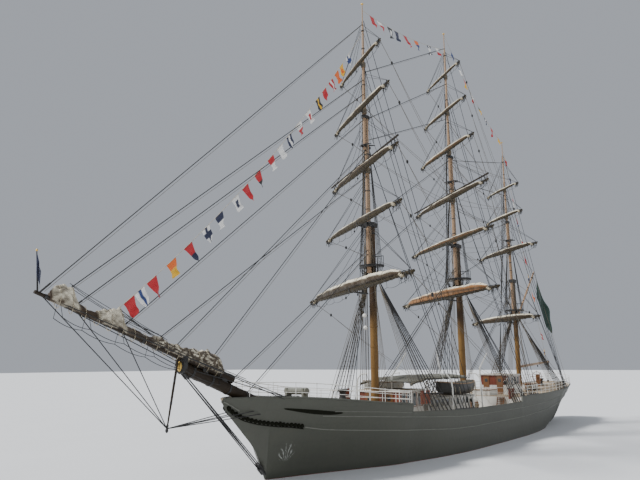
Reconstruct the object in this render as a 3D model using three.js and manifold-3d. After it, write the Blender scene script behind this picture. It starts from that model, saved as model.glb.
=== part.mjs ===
// Full-rigged clipper ship, a scale model at 1:2 of a three-masted steel training ship.
// Frame: X forward to the bow, Y to port, Z up, origin at the waterline, midway along the overall length.
// All sizes below are the real ship's, in metres; SCALE turns them into millimetres of the model.

import * as THREE from 'three';
import { mergeVertices } from 'three/addons/utils/BufferGeometryUtils.js';
import Module from 'manifold-3d';

const wasm = await Module();
wasm.setup();

// Driving dimensions

const SCALE = 500;
const GAP = 0.0007;
const FOOT_GAP = 0.0017;
const PARREL_GAP = 0.0009;

const MAIN_DECK_Z = 2.45;
const QUARTERDECK_Z = 3.85;
const BULWARK_THICKNESS = 0.15;
const STERNPOST_X = -29.3;
const KEEL_Z = -4.5;
const KEEL_HALF = 0.14;
const KEEL_END_X = 11.5;

const TOPMAST_STEP = 0.5;
const TOPGALLANT_STEP = 0.8;
const TRUSS_PIVOT = 1.0;
const TRUSS = { arm: 0.09, pin: 0.13, half: 0.22, plate: 0.05, eye: 0.15 };
const CHANNEL_LENGTH = 3.2;
const BACKSTAY_REACH = 5.4;
// Backstays of the pole masts: how far aft of the mast each is set up, and the height at which it ends.
// Those of the mizzen stay forward of the boom's swing.
const POLE_BACKSTAYS = {
  fore: [[5.9, 30.75], [6.5, 33.55], [7.1, 35.3], [7.9, 38.5]],
  main: [[5.9, 31.4], [6.5, 36.4], [7.1, 37.45], [7.9, 42.5]],
  mizzen: [[3.8, 27.1], [4.0, 29.0], [4.2, 30.8], [4.4, 34.4]],
};
const CHANNEL = { over: 0.25, half: 0.05, low: 0.004, high: 0.1 };
const SHEER_POLE_RISE = 1.35;
const WIRE_RADIUS = 0.04;
const POLE_RADIUS = 0.06;
const WIRE_SIDES = 4;
const SPAR_SIDES = 8;
const RING_SIDES = 9;
const RING_HALF = 0.25;

// Stations of the hull, from the stern to the bow.
const STATION_COLUMNS = ['x', 'bottom', 'waterHalf', 'railHalf', 'rail', 'deck', 'fullness', 'flare'];
const STATIONS = [
  [-38.0, 3.70, 0.00, 0.70, 4.85, 4.80, 0.55, 0.5],
  [-37.6, 3.05, 0.00, 1.75, 4.80, 4.70, 0.50, 0.5],
  [-36.6, 2.30, 0.00, 2.75, 4.72, 4.60, 0.48, 0.5],
  [-35.0, 1.55, 0.00, 3.45, 4.60, 4.48, 0.48, 0.5],
  [-33.0, 0.75, 0.00, 3.90, 4.45, 4.30, 0.50, 0.5],
  [-31.0, 0.05, 0.00, 4.20, 4.30, 4.15, 0.52, 0.5],
  [STERNPOST_X - 0.002, -0.80, 0.90, 4.40, 4.20, QUARTERDECK_Z, 1.2, 0.5],
  [STERNPOST_X, KEEL_Z, 1.00, 4.40, 4.20, QUARTERDECK_Z, 1.2, 0.5],
  [-26.0, KEEL_Z, 2.70, 4.70, 4.10, QUARTERDECK_Z, 1.4, 0.55],
  [-21.0, KEEL_Z, 4.20, 4.98, 4.02, QUARTERDECK_Z, 1.9, 0.7],
  [-15.0, -4.45, 4.95, 5.18, 3.98, QUARTERDECK_Z, 2.6, 0.9],
  [-12.0, -4.42, 5.10, 5.22, 3.98, QUARTERDECK_Z, 2.9, 1.0],
  [-11.9, -4.42, 5.10, 5.22, 3.45, MAIN_DECK_Z, 2.9, 1.0],
  [-6.0, -4.36, 5.20, 5.25, 3.42, MAIN_DECK_Z, 3.2, 1.0],
  [0.0, -4.30, 5.20, 5.25, 3.45, MAIN_DECK_Z, 3.2, 1.0],
  [5.0, -4.24, 4.85, 5.20, 3.58, MAIN_DECK_Z, 2.9, 1.0],
  [10.4, -4.15, 3.95, 5.02, 3.78, MAIN_DECK_Z, 2.3, 1.1],
  [10.5, -4.15, 3.92, 5.02, 4.38, 4.28, 2.3, 1.1],
  [14.0, -4.00, 2.75, 4.62, 4.66, 4.56, 1.8, 1.25],
  [17.0, -3.75, 1.60, 3.98, 4.95, 4.85, 1.5, 1.25],
  [19.2, -3.20, 0.80, 3.32, 5.14, 5.04, 1.3, 1.25],
  [20.6, -2.10, 0.36, 2.75, 5.24, 5.14, 1.2, 1.25],
  [21.4, -0.05, 0.05, 2.38, 5.28, 5.18, 1.2, 1.25],
  [22.3, 1.80, 0.00, 1.88, 5.31, 5.21, 0.85, 1.25],
  [23.4, 2.92, 0.00, 1.25, 5.32, 5.22, 0.80, 1.25],
  [24.5, 3.95, 0.00, 0.62, 5.32, 5.24, 0.75, 1.25],
  [25.1, 4.55, 0.00, 0.30, 5.32, 5.26, 0.70, 1.25],
  [25.45, 5.15, 0.00, 0.12, 5.31, 5.28, 0.70, 1.25],
].map((row) => Object.fromEntries(STATION_COLUMNS.map((name, i) => [name, row[i]])));

// Masts: x of the lower mast, foot, top platform, lower cap, crosstrees, topmast cap, truck.
const MAST_COLUMNS = [
  'name', 'x', 'foot', 'top', 'cap', 'trees', 'upperCap', 'truck', 'radius', 'topWidth',
];
const MASTS = Object.fromEntries([
  ['fore', 7.9, MAIN_DECK_Z, 15.5, 19.4, 26.4, 29.2, 40.3, 0.34, 2.0],
  ['main', -9.3, MAIN_DECK_Z, 16.1, 20.0, 27.0, 30.0, 44.9, 0.36, 2.7],
  ['mizzen', -25.6, QUARTERDECK_Z, 13.8, 17.8, 22.9, 25.45, 36.3, 0.30, 2.2],
].map((row) => [row[0], Object.fromEntries(MAST_COLUMNS.map((name, i) => [name, row[i]]))]));

// Radii of a mast's lengths as shares of its radius at the deck, and sizes of its fittings.
const MAST_SHARE = {
  hounds: 0.92, head: 0.82, topmast: 0.62, topmastHead: 0.5,
  pole: 0.42, poleHead: 0.28, royal: 0.16, tip: 0.13,
};
const TOP_THICKNESS = 0.14;
const TOP_AFT = 0.55;
const TREE_WIDTH = 0.16;
const TREE_DEPTH = 0.13;
const CAP_DEPTH = 0.35;
const CAP_LIP = 0.05;
const TRUCK = { radius: 0.12, height: 0.1, taperLength: 2.2 };

// Angle from square, port arms forward, at which each mast's yards stay braced.
const BRACE_DEG = { fore: -34.5, main: -37, mizzen: -38.5 };

// Yards: how each is slung, height, half length, middle radius, radius of its furled sail.
const YARD_COLUMNS = ['name', 'mast', 'sling', 'z', 'half', 'radius', 'sail', 'boom'];
const YARDS = [
  ['fore_yard', 'fore', 'truss', 13.45, 11.6, 0.25, 0.42, 0],
  ['fore_lower_topsail_yard', 'fore', 'cap', 19.2, 8.6, 0.19, 0.24, 0],
  ['fore_upper_topsail_yard', 'fore', 'topmast', 24.1, 7.6, 0.18, 0.28, 1],
  ['fore_topgallant_yard', 'fore', 'topgallant', 29.6, 6.5, 0.15, 0.24, 0],
  ['fore_royal_yard', 'fore', 'topgallant', 34.1, 4.9, 0.12, 0.18, 0],
  ['main_yard', 'main', 'truss', 14.15, 10.9, 0.25, 0.48, 0],
  ['main_lower_topsail_yard', 'main', 'cap', 20.05, 9.4, 0.19, 0.26, 0],
  ['main_upper_topsail_yard', 'main', 'topmast', 24.95, 8.5, 0.18, 0.28, 1],
  ['main_topgallant_yard', 'main', 'topgallant', 30.4, 6.4, 0.15, 0.26, 0],
  ['main_royal_yard', 'main', 'topgallant', 35.0, 5.15, 0.12, 0.19, 0],
  ['main_skysail_yard', 'main', 'topgallant', 39.4, 4.15, 0.10, 0.14, 0],
  ['crossjack_yard', 'mizzen', 'truss', 12.6, 8.1, 0.20, 0.30, 0],
  ['mizzen_topsail_yard', 'mizzen', 'topmast', 21.4, 7.1, 0.17, 0.28, 0],
  ['mizzen_topgallant_yard', 'mizzen', 'topgallant', 25.95, 4.5, 0.13, 0.20, 0],
  ['mizzen_royal_yard', 'mizzen', 'topgallant', 29.6, 3.95, 0.10, 0.15, 0],
].map((row) => Object.fromEntries(YARD_COLUMNS.map((name, i) => [name, row[i]])));

// Fractions of a yard's half length, with the yard's and the furled sail's share of their radius there.
const YARD_TAPER = [[0, 1], [0.4, 0.9], [0.8, 0.6], [1, 0.42]];
const SAIL_TAPER = [[0, 1.12], [0.25, 1], [0.55, 0.84], [0.74, 0.52], [0.82, 0.18]];

const BOWSPRIT = { heel: [20.2, 4.15], cap: [28.7, 7.22], radius: 0.38, capRadius: 0.33 };
const JIBBOOM = { heel: [24.6, 6.42], tip: [37.9, 10.83], radius: 0.26, tipRadius: 0.09 };
const STRIKER = { head: [28.98, 7.78], tip: [29.6, 3.75], radius: 0.13 };
const BOBSTAY_FEET = [[21.75, 0.72], [21.5, 0.34]];
const BOBSTAY_HALF = 0.12;
// Stays of the striker: where on the jib-boom they end, and where on the side its backropes end.
const MARTINGALE_ENDS = [32.9, 35.7, 37.6];
const BACKROPE_ENDS = [[23.0, 0.9, 4.5], [22.4, 1.1, 4.3]];
// Guys of bowsprit and jib-boom: foot on the side, and place on the spar with its half breadth there.
const GUYS = [[[20.3, 2.4, 4.9], [28.5, 0.2, 7.15]], [[20.8, 2.3, 4.93], [33.0, 0.05, 9.2]],
  [[21.3, 2.1, 4.96], [37.6, 0.03, 10.73]]];

const BOOM = { z: 6.9, rise: 0.6, length: 11.4, radius: 0.17 };
const GAFF = { z: 12.9, rise: 6.9, length: 7.7, radius: 0.13 };
const NECK_HALF = 0.14;
const NECK_REACH = 0.3;
const RUDDER = { stockX: -30.55, top: -0.42, bottom: -4.1, aft: -32.4, thickness: 0.24, stock: 0.16 };
// Blind bore in the counter in which the rudder stock turns.
const TRUNK = { radius: 0.172, low: -1.0, top: 0.3, head: 0.25 };
const PROPELLER = { x: -29.85, z: -2.55, radius: 1.15, hub: 0.24, blades: 4 };
const WHEEL = { x: -32.2, z: 5.55, radius: 0.8, spokes: 8 };
const SKID_Z = 4.45;
const SKID_HEIGHT = 0.18;
const BOAT = { x: 0.4, y: 3.74, keel: SKID_Z + SKID_HEIGHT + GAP, length: 6.6, beam: 1.86, depth: 0.95 };
const SKIDS = [BOAT.x - 1.2, BOAT.x + 1.2];
const SKID_BEAM = { half: 0.08, reach: 4.9, post: 4.75, rail: 2.9, railHalf: 0.06 };
const WINDLASS = { x: 18.2, half: 0.95, rise: 0.55, radius: 0.26, cheek: 0.75, bed: 0.5 };

// Deckhouses, from aft to fore edge, with the half width of the walls and the overhang of the roof.
const HOUSE_COLUMNS = ['name', 'aft', 'fore', 'half', 'deck', 'top', 'overhang'];
const HOUSES = Object.fromEntries([
  ['fore_deckhouse', 3.2, 7.3, 1.95, MAIN_DECK_Z, 5.2, 0.12],
  ['main_deckhouse', -6.6, 2.2, 1.85, MAIN_DECK_Z, SKID_Z, 0.1],
  ['chart_house', -21.4, -17.2, 1.6, QUARTERDECK_Z, 6.1, 0.12],
].map((row) => [row[0], Object.fromEntries(HOUSE_COLUMNS.map((name, i) => [name, row[i]]))]));
const ROOF_THICKNESS = 0.12;

// The jibs furled on the jib-boom: x, half width, and height of the bundle over the boom's axis.
const JIB_BUNDLE = [
  [37.15, 0.16, 0.22], [36.95, 0.3, 0.6], [36.4, 0.34, 0.95], [35.95, 0.24, 1.0], [35.6, 0.2, 0.36],
  [34.7, 0.18, 0.26], [34.4, 0.28, 0.42], [33.6, 0.32, 0.85], [33.05, 0.24, 1.12], [32.75, 0.22, 0.36],
  [31.2, 0.24, 0.3], [30.6, 0.3, 0.5], [30.1, 0.26, 0.6], [29.8, 0.28, 0.38], [29.1, 0.34, 0.56],
  [28.2, 0.4, 0.62], [27.4, 0.46, 0.85], [26.6, 0.48, 1.02], [25.9, 0.42, 1.0], [25.55, 0.3, 0.6],
];
// Awning: it slopes down towards the bow ahead of its bend.
const AWNING = {
  front: 6.4, bend: 3.4, slope: 0.14, back: -4.6, half: 2.55, z: 6.15, ridge: 0.22, thickness: 0.05,
};

// Materials

function material(color, roughness, metalness = 0) {
  return new THREE.MeshStandardMaterial({ color, roughness, metalness });
}

const FINISH = {
  hull: material(0x6c6f66, 0.5, 0.1),
  white: material(0xe9e8e2, 0.5),
  spar: material(0xc89a5a, 0.45),
  yard: material(0xd9cba8, 0.5),
  sail: material(0xf1efe8, 0.9),
  wire: material(0x2b2a28, 0.6, 0.4),
  bronze: material(0x9b7a3c, 0.35, 0.9),
  wood: material(0x7d5a38, 0.6),
  dark: material(0x2f3236, 0.5, 0.3),
};

// Geometry helpers: solids are made in real metres and scaled at the end.

const vec = (x, y, z) => new THREE.Vector3(x, y, z);

function toSolid(geometry) {
  const bare = geometry.index ? geometry.toNonIndexed() : geometry.clone();
  for (const name of Object.keys(bare.attributes)) {
    if (name !== 'position') bare.deleteAttribute(name);
  }
  const merged = mergeVertices(bare, 1e-5);
  const index = merged.index.array;
  const kept = [];
  for (let i = 0; i < index.length; i += 3) {
    const [a, b, c] = [index[i], index[i + 1], index[i + 2]];
    if (a !== b && b !== c && a !== c) kept.push(a, b, c);
  }
  const vertProperties = new Float32Array(merged.attributes.position.array);
  return new wasm.Manifold(new wasm.Mesh({ numProp: 3, vertProperties, triVerts: new Uint32Array(kept) }));
}

function toGeometry(solid) {
  const mesh = solid.getMesh();
  const geometry = new THREE.BufferGeometry();
  geometry.setAttribute('position', new THREE.BufferAttribute(new Float32Array(mesh.vertProperties), 3));
  geometry.setIndex(new THREE.BufferAttribute(new Uint32Array(mesh.triVerts), 1));
  geometry.scale(SCALE, SCALE, SCALE);
  geometry.computeVertexNormals();
  return geometry;
}

// The solid and its copies moved by the gap to each side and up: what is cut by it stays clear of it.
function grown(solid) {
  const moves = [[0, GAP, GAP], [0, -GAP, GAP], [GAP, 0, 0], [-GAP, 0, 0]];
  return moves.reduce((all, move) => all.add(solid.translate(move)), solid);
}

const join = (...solids) => solids.reduce((all, one) => all.add(one));

function box(x0, x1, y0, y1, z0, z1) {
  const geometry = new THREE.BoxGeometry(x1 - x0, y1 - y0, z1 - z0);
  geometry.translate((x0 + x1) / 2, (y0 + y1) / 2, (z0 + z1) / 2);
  return toSolid(geometry);
}

// A straight tapered rod from one point to another.
function rod(from, to, radius, endRadius = radius, sides = 6) {
  const along = to.clone().sub(from);
  const geometry = new THREE.CylinderGeometry(endRadius, radius, along.length(), sides);
  const turn = new THREE.Quaternion().setFromUnitVectors(vec(0, 1, 0), along.clone().normalize());
  geometry.applyQuaternion(turn);
  geometry.translate((from.x + to.x) / 2, (from.y + to.y) / 2, (from.z + to.z) / 2);
  return toSolid(geometry);
}

// A round spar along Y or Z from [position, radius] pairs.
function turned(pairs, sides, upright) {
  const profile = [new THREE.Vector2(0, pairs[0][0])];
  for (const [at, radius] of pairs) profile.push(new THREE.Vector2(radius, at));
  profile.push(new THREE.Vector2(0, pairs[pairs.length - 1][0]));
  const geometry = new THREE.LatheGeometry(profile, sides);
  if (upright) geometry.rotateX(Math.PI / 2);
  return outward(geometry);
}

// Turns a closed mesh's faces outward before it becomes a solid.
function outward(geometry) {
  const flat = geometry.index ? geometry.toNonIndexed() : geometry;
  const position = flat.attributes.position;
  const [a, b, c] = [vec(0, 0, 0), vec(0, 0, 0), vec(0, 0, 0)];
  let volume = 0;
  for (let i = 0; i < position.count; i += 3) {
    a.fromBufferAttribute(position, i);
    b.fromBufferAttribute(position, i + 1);
    c.fromBufferAttribute(position, i + 2);
    volume += a.dot(b.clone().cross(c));
  }
  if (volume < 0) {
    for (let i = 0; i < position.count; i += 3) {
      b.fromBufferAttribute(position, i + 1);
      c.fromBufferAttribute(position, i + 2);
      position.setXYZ(i + 1, c.x, c.y, c.z);
      position.setXYZ(i + 2, b.x, b.y, b.z);
    }
  }
  return toSolid(flat);
}

// A solid through closed rings of equal length, capped with fans at both ends.
function loft(rings) {
  const points = [];
  const quad = (a, b, c, d) => points.push(a, b, c, a, c, d);
  const count = rings[0].length;
  for (let i = 0; i + 1 < rings.length; i += 1) {
    for (let j = 0; j < count; j += 1) {
      const next = (j + 1) % count;
      quad(rings[i][j], rings[i][next], rings[i + 1][next], rings[i + 1][j]);
    }
  }
  const cap = (ring, flip) => {
    const middle = ring.reduce((sum, p) => sum.add(p), vec(0, 0, 0)).divideScalar(count);
    for (let j = 0; j < count; j += 1) {
      const next = (j + 1) % count;
      if (flip) points.push(middle, ring[j], ring[next]);
      else points.push(middle, ring[next], ring[j]);
    }
  };
  cap(rings[0], false);
  cap(rings[rings.length - 1], true);
  return outward(new THREE.BufferGeometry().setFromPoints(points));
}

// Interpolated value of a station column at x.
function hullAt(column, x) {
  const last = STATIONS.length - 2;
  let i = 0;
  while (i < last && STATIONS[i + 1].x < x) i += 1;
  const [a, b] = [STATIONS[i], STATIONS[i + 1]];
  const share = (x - a.x) / (b.x - a.x);
  return a[column] + share * (b[column] - a[column]);
}

// Hull

const SECTION_UNDER = 7;
const SECTION_OVER = 5;

// Half breadth of the shell at a height above the water.
function shellHalf({ bottom, waterHalf, railHalf, rail, fullness, flare }, z) {
  if (bottom < 0) return waterHalf + (railHalf - waterHalf) * Math.pow(z / rail, flare);
  return railHalf * Math.pow((z - bottom) / (rail - bottom), fullness);
}

function hullRing(station) {
  const half = [];
  const { x, bottom, waterHalf, railHalf, rail, deck, fullness, flare } = station;
  const afloat = bottom < 0;
  const steps = SECTION_UNDER + SECTION_OVER;
  for (let i = 0; i <= steps; i += 1) {
    if (afloat && i <= SECTION_UNDER) {
      const turn = (i / SECTION_UNDER) * (Math.PI / 2);
      const z = bottom * Math.pow(Math.cos(turn), 2 / Math.max(fullness, 1.2));
      const y = waterHalf * Math.pow(Math.sin(turn), 2 / fullness);
      half.push([i === 0 ? 0 : Math.max(y, 0.03), z]);
    } else if (afloat) {
      const share = (i - SECTION_UNDER) / SECTION_OVER;
      half.push([waterHalf + (railHalf - waterHalf) * Math.pow(share, flare), rail * share]);
    } else {
      const share = i / steps;
      const y = Math.max(railHalf * Math.pow(share, fullness), 0.02);
      half.push([i === 0 ? 0 : y, bottom + (rail - bottom) * share]);
    }
  }
  const inner = Math.max(railHalf - BULWARK_THICKNESS, railHalf * 0.5);
  const foot = Math.min(inner, Math.max(shellHalf(station, deck) - BULWARK_THICKNESS, inner * 0.5));
  half.push([inner, rail], [foot, deck], [0, deck]);
  const port = half.map(([y, z]) => vec(x, y, z));
  const starboard = half.slice(1, -1).reverse().map(([y, z]) => vec(x, -y, z));
  return [...port, ...starboard];
}

function makeHull() {
  const barKeel = box(STERNPOST_X - 1.9, KEEL_END_X, -KEEL_HALF, KEEL_HALF, KEEL_Z, KEEL_Z + 0.3);
  const { stockX } = RUDDER;
  const trunk = rod(vec(stockX, 0, TRUNK.low), vec(stockX, 0, TRUNK.top), TRUNK.radius, TRUNK.radius, 10);
  return join(loft(STATIONS.map(hullRing)), barKeel).subtract(trunk);
}

const hull = makeHull();
const hullGrown = grown(hull);
const largest = (solid) => solid.decompose().sort((a, b) => b.volume() - a.volume())[0];
const seated = (solid) => largest(solid.subtract(hullGrown));

// Masts

function makeMast(mast) {
  const { x, foot, top, cap, trees, upperCap, truck, radius, topWidth } = mast;
  const topX = x + TOPMAST_STEP;
  const upX = x + TOPGALLANT_STEP;
  const size = (name) => MAST_SHARE[name] * radius;
  const neck = truck - TRUCK.taperLength;
  const button = truck - TRUCK.height;
  const lower = turned([[foot + GAP, radius], [top, size('hounds')], [cap + 0.12, size('head')]], 12, true);
  const topmast = turned([
    [top - 0.5, size('topmast')], [cap, size('topmast')], [upperCap + 0.1, size('topmastHead')],
  ], 10, true);
  const pole = turned([
    [trees - 0.4, size('pole')], [upperCap + 0.5, size('pole')],
    [neck, size('poleHead')], [neck + 0.2, size('royal')],
    [button - 0.02, size('tip')], [button, TRUCK.radius], [truck, TRUCK.radius * 0.8],
  ], 8, true);
  const width = topWidth / 2;
  const platform = new THREE.Shape();
  platform.moveTo(-TOP_AFT, -width);
  platform.lineTo(0.35, -width);
  platform.absarc(0.35, 0, width, -Math.PI / 2, Math.PI / 2, false);
  platform.lineTo(-TOP_AFT, width);
  platform.closePath();
  const flat = { depth: TOP_THICKNESS, bevelEnabled: false, curveSegments: 6 };
  const slab = new THREE.ExtrudeGeometry(platform, flat);
  const treeHalf = width * 0.62;
  const crossTree = (at) => {
    return box(at, at + TOP_THICKNESS, -treeHalf, treeHalf, trees - 0.01, trees + TREE_DEPTH);
  };
  const lowerCap = [x - radius - 0.08, topX + size('topmast') + 0.08, -radius, radius];
  const topCap = [topX - radius * 0.6 - 0.06, upX + size('pole') + 0.06, -size('topmast'), size('topmast')];
  const pieces = [
    lower.translate([x, 0, 0]),
    topmast.translate([topX, 0, 0]),
    pole.translate([upX, 0, 0]),
    toSolid(slab).scale([0.72, 1, 1]).translate([x + 0.1, 0, top]),
    box(...lowerCap, cap - CAP_DEPTH, cap + CAP_LIP),
    box(...topCap, upperCap - CAP_DEPTH + 0.1, upperCap + CAP_LIP),
    box(x + 0.1, upX + 0.45, -TREE_WIDTH, TREE_WIDTH, trees - 0.2, trees),
    crossTree(topX - 0.12),
    crossTree(upX + 0.1),
    box(x - 0.3, topX + 0.25, -TREE_WIDTH * 1.5, TREE_WIDTH * 1.5, top - 0.4, top + 0.02),
  ];
  for (const yard of YARDS.filter((one) => MASTS[one.mast] === mast && isTrussed(one))) {
    const pivot = x + TRUSS_PIVOT;
    const { arm, pin, half } = TRUSS;
    pieces.push(box(x + radius * 0.5, pivot, -arm, arm, yard.z - 0.16, yard.z + 0.16));
    pieces.push(rod(vec(pivot, 0, yard.z - half), vec(pivot, 0, yard.z + half), pin, pin, 8));
  }
  return join(...pieces);
}

function isTrussed(yard) {
  return yard.sling === 'truss' || yard.sling === 'cap';
}

// Radius of the pole mast at a height.
function poleRadius(mast, z) {
  const base = mast.upperCap + 0.5;
  const neck = mast.truck - TRUCK.taperLength;
  if (z > neck + 0.2) return mast.radius * MAST_SHARE.royal;
  const share = Math.min(1, Math.max(0, (z - base) / (neck - base)));
  return mast.radius * (MAST_SHARE.pole - (MAST_SHARE.pole - MAST_SHARE.poleHead) * share);
}

// Radius of the spar that a yard's parrel goes round, at the parrel's lower edge.
function sparRadius(mast, yard) {
  if (yard.sling === 'topmast') {
    const share = Math.max(0, (yard.z - RING_HALF - mast.cap) / (mast.upperCap + 0.1 - mast.cap));
    return mast.radius * (MAST_SHARE.topmast - (MAST_SHARE.topmast - MAST_SHARE.topmastHead) * share);
  }
  return poleRadius(mast, yard.z - RING_HALF);
}

// Distance from the pivot to the yard's axis.
function slingArm(mast, yard) {
  if (yard.sling === 'truss') return 1.35;
  if (yard.sling === 'cap') return 0.62;
  return sparRadius(mast, yard) + yard.radius + 0.2;
}

function pivotX(mast, yard) {
  if (isTrussed(yard)) return mast.x + TRUSS_PIVOT;
  return mast.x + (yard.sling === 'topmast' ? TOPMAST_STEP : TOPGALLANT_STEP);
}

function mirrored(pairs, half, radius) {
  const arm = pairs.map(([share, size]) => [share * half, size * radius]);
  return [...arm.slice(1).reverse().map(([y, r]) => [-y, r]), ...arm];
}

// The yard lies along Y; its pivot is the local origin and the yard is ahead of it.
function makeYard(yard) {
  const mast = MASTS[yard.mast];
  const arm = slingArm(mast, yard);
  const spar = turned(mirrored(YARD_TAPER, yard.half, yard.radius), SPAR_SIDES, false);
  const pieces = [spar.translate([arm, 0, 0])];
  if (isTrussed(yard)) {
    const { half, plate, eye } = TRUSS;
    for (const side of [-1, 1]) {
      const z = side * (half + GAP + plate);
      pieces.push(rod(vec(0, 0, z - plate), vec(0, 0, z + plate), eye, eye, 8));
      pieces.push(box(0, arm, -0.1, 0.1, z - plate, z + plate));
    }
    pieces.push(box(0.3, arm, -0.1, 0.1, -0.3, 0.3));
  } else {
    const inner = sparRadius(mast, yard) + PARREL_GAP;
    const ring = rod(vec(0, 0, -RING_HALF), vec(0, 0, RING_HALF), inner + 0.1, inner + 0.1, RING_SIDES);
    const corner = inner / Math.cos(Math.PI / RING_SIDES);
    const bore = rod(vec(0, 0, -0.3), vec(0, 0, 0.3), corner, corner, RING_SIDES);
    pieces.push(ring.add(box(0, arm, -0.09, 0.09, -0.11, 0.11)).subtract(bore));
  }
  if (yard.boom) {
    const reach = yard.half * 1.02;
    const at = arm + yard.radius + 0.42;
    pieces.push(rod(vec(at, -reach, 0.34), vec(at, reach, 0.34), 0.07, 0.07, 6));
    for (const share of [-0.9, -0.55, 0.55, 0.9]) {
      pieces.push(rod(vec(arm, share * yard.half, 0), vec(at, share * yard.half, 0.34), 0.045, 0.045, 4));
    }
  }
  return join(...pieces);
}

// Cross-section of a furled sail that lies along the top of its yard, in shares of its radius.
const SAIL_SECTION = [
  [-0.6, 0], [-0.85, 0.5], [-0.55, 1.1], [0.05, 1.38], [0.65, 1.2], [1.0, 0.65], [0.85, 0],
];

function taperAt(share) {
  const i = YARD_TAPER.findIndex(([at]) => at >= share && at > 0);
  const [[from, a], [to, b]] = [YARD_TAPER[i - 1], YARD_TAPER[i]];
  return a + ((b - a) * (share - from)) / (to - from);
}

function makeSail(yard) {
  const arm = slingArm(MASTS[yard.mast], yard);
  const ringAt = (side, [share, size]) => {
    const base = taperAt(share) * yard.radius + 2 * GAP;
    const r = size * yard.sail;
    return SAIL_SECTION.map(([x, z]) => vec(arm + x * r, side * share * yard.half, base + z * r));
  };
  const port = SAIL_TAPER.map((pair) => ringAt(1, pair));
  const starboard = SAIL_TAPER.slice(1).reverse().map((pair) => ringAt(-1, pair));
  return loft([...starboard, ...port]);
}

// Shrouds and backstays of one side of a mast, joined at the hounds and by the sheer pole.
function makeShrouds(name, side) {
  const mast = MASTS[name];
  const { x, top, trees, radius } = mast;
  const footAt = (reach) => {
    const at = x - reach;
    return vec(at, side * (hullAt('railHalf', at) - BULWARK_THICKNESS / 2), hullAt('rail', at));
  };
  const eye = vec(x, side * (radius * 0.93 + 0.06), top - 0.6);
  const upperEye = vec(x + TOPMAST_STEP - 0.02, side * (radius * 0.6 + 0.05), trees - 0.5);
  const pieces = [rod(eye.clone().setZ(eye.z - 0.2), eye.clone().setZ(eye.z + 0.2), 0.06, 0.06, 4)];
  const lines = [0, 1, 2, 3].map((i) => [0.35 + (i * CHANNEL_LENGTH) / 3, eye, 0.12 - 0.08 * i]);
  lines.push([BACKSTAY_REACH - 0.8, upperEye, 0.12], [BACKSTAY_REACH, upperEye, -0.12]);
  const polePoints = [];
  for (const [reach, head, rise] of lines) {
    const foot = footAt(reach);
    const end = head.clone().setZ(head.z + rise);
    const lean = Math.hypot(end.x - foot.x, end.y - foot.y) / end.distanceTo(foot);
    foot.z += WIRE_RADIUS * lean + FOOT_GAP;
    pieces.push(rod(foot, end, WIRE_RADIUS, WIRE_RADIUS, WIRE_SIDES));
    polePoints.push(foot.clone().lerp(end, SHEER_POLE_RISE / (end.z - foot.z)));
  }
  for (const [reach, z] of POLE_BACKSTAYS[name]) {
    const foot = footAt(reach);
    const head = vec(x + TOPGALLANT_STEP - 0.02, side * (poleRadius(mast, z) + WIRE_RADIUS + 0.005), z);
    foot.z += WIRE_RADIUS + FOOT_GAP;
    pieces.push(rod(foot, head, WIRE_RADIUS, WIRE_RADIUS * 0.8, WIRE_SIDES));
  }
  const { half: plankHalf, low, high } = CHANNEL;
  const edges = [[-plankHalf, low], [plankHalf, low], [plankHalf, high], [-plankHalf, high]];
  const reaches = [BACKSTAY_REACH - 0.8, BACKSTAY_REACH, ...POLE_BACKSTAYS[name].map(([reach]) => reach)];
  const nearest = Math.min(...reaches) - CHANNEL.over;
  const farthest = Math.max(...reaches) + CHANNEL.over;
  const plankPoints = [0, 1, 2, 3].map((i) => footAt(nearest + ((farthest - nearest) * i) / 3));
  pieces.push(loft(plankPoints.map((p) => edges.map(([y, z]) => vec(p.x, p.y + y, p.z + z)))));
  const h = POLE_RADIUS;
  const first = polePoints[0];
  const final = polePoints[polePoints.length - 1];
  const ends = [first.clone().setX(first.x + 0.12), ...polePoints.slice(1, -1)];
  ends.push(final.clone().setX(final.x - 0.12));
  const corners = [[-h, -h], [h, -h], [h, h], [-h, h]];
  pieces.push(loft(ends.map((p) => corners.map(([y, z]) => vec(p.x, p.y + y, p.z + z)))));
  return join(...pieces);
}

// Cross-section of the furled jibs, in shares of their half width and of their height.
const JIB_SECTION = [[-1, 0], [-0.95, 0.5], [-0.5, 0.9], [0, 1], [0.5, 0.9], [0.95, 0.5], [1, 0], [0, -0.1]];

// Headgear

const wire = (from, to) => rod(from, to, WIRE_RADIUS, WIRE_RADIUS, WIRE_SIDES);

// Height of the jib-boom's axis.
function boomAxis(x) {
  const [[x0, z0], [x1, z1]] = [JIBBOOM.heel, JIBBOOM.tip];
  return z0 + ((z1 - z0) * (x - x0)) / (x1 - x0);
}

function makeBowsprit() {
  const point = ([x, z]) => vec(x, 0, z);
  const spar = rod(point(BOWSPRIT.heel), point(BOWSPRIT.cap), BOWSPRIT.radius, BOWSPRIT.capRadius, 14);
  const boom = rod(point(JIBBOOM.heel), point(JIBBOOM.tip), JIBBOOM.radius, JIBBOOM.tipRadius, 12);
  const [cx, cz] = BOWSPRIT.cap;
  const cap = box(cx - 0.16, cx + 0.16, -0.42, 0.42, cz - 0.42, cz + 0.95);
  const wires = [];
  for (const y of [-BOBSTAY_HALF, BOBSTAY_HALF]) {
    for (const [x, z] of BOBSTAY_FEET) wires.push(wire(vec(x, y, z), vec(cx, y, cz - 0.35)));
  }
  for (const side of [-1, 1]) {
    for (const [[x0, y0, z0], [x1, y1, z1]] of GUYS) {
      wires.push(wire(vec(x0, side * y0, z0), vec(x1, side * y1, z1)));
    }
  }
  for (const [head, headZ, foot] of JIB_STAYS) {
    wires.push(wire(vec(MASTS.fore.x + head, 0, headZ), vec(foot, 0, boomAxis(foot))));
  }
  const carrier = grown(mastSolids.fore);
  return largest(seated(join(spar, boom, cap, ...wires)).subtract(carrier));
}

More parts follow.
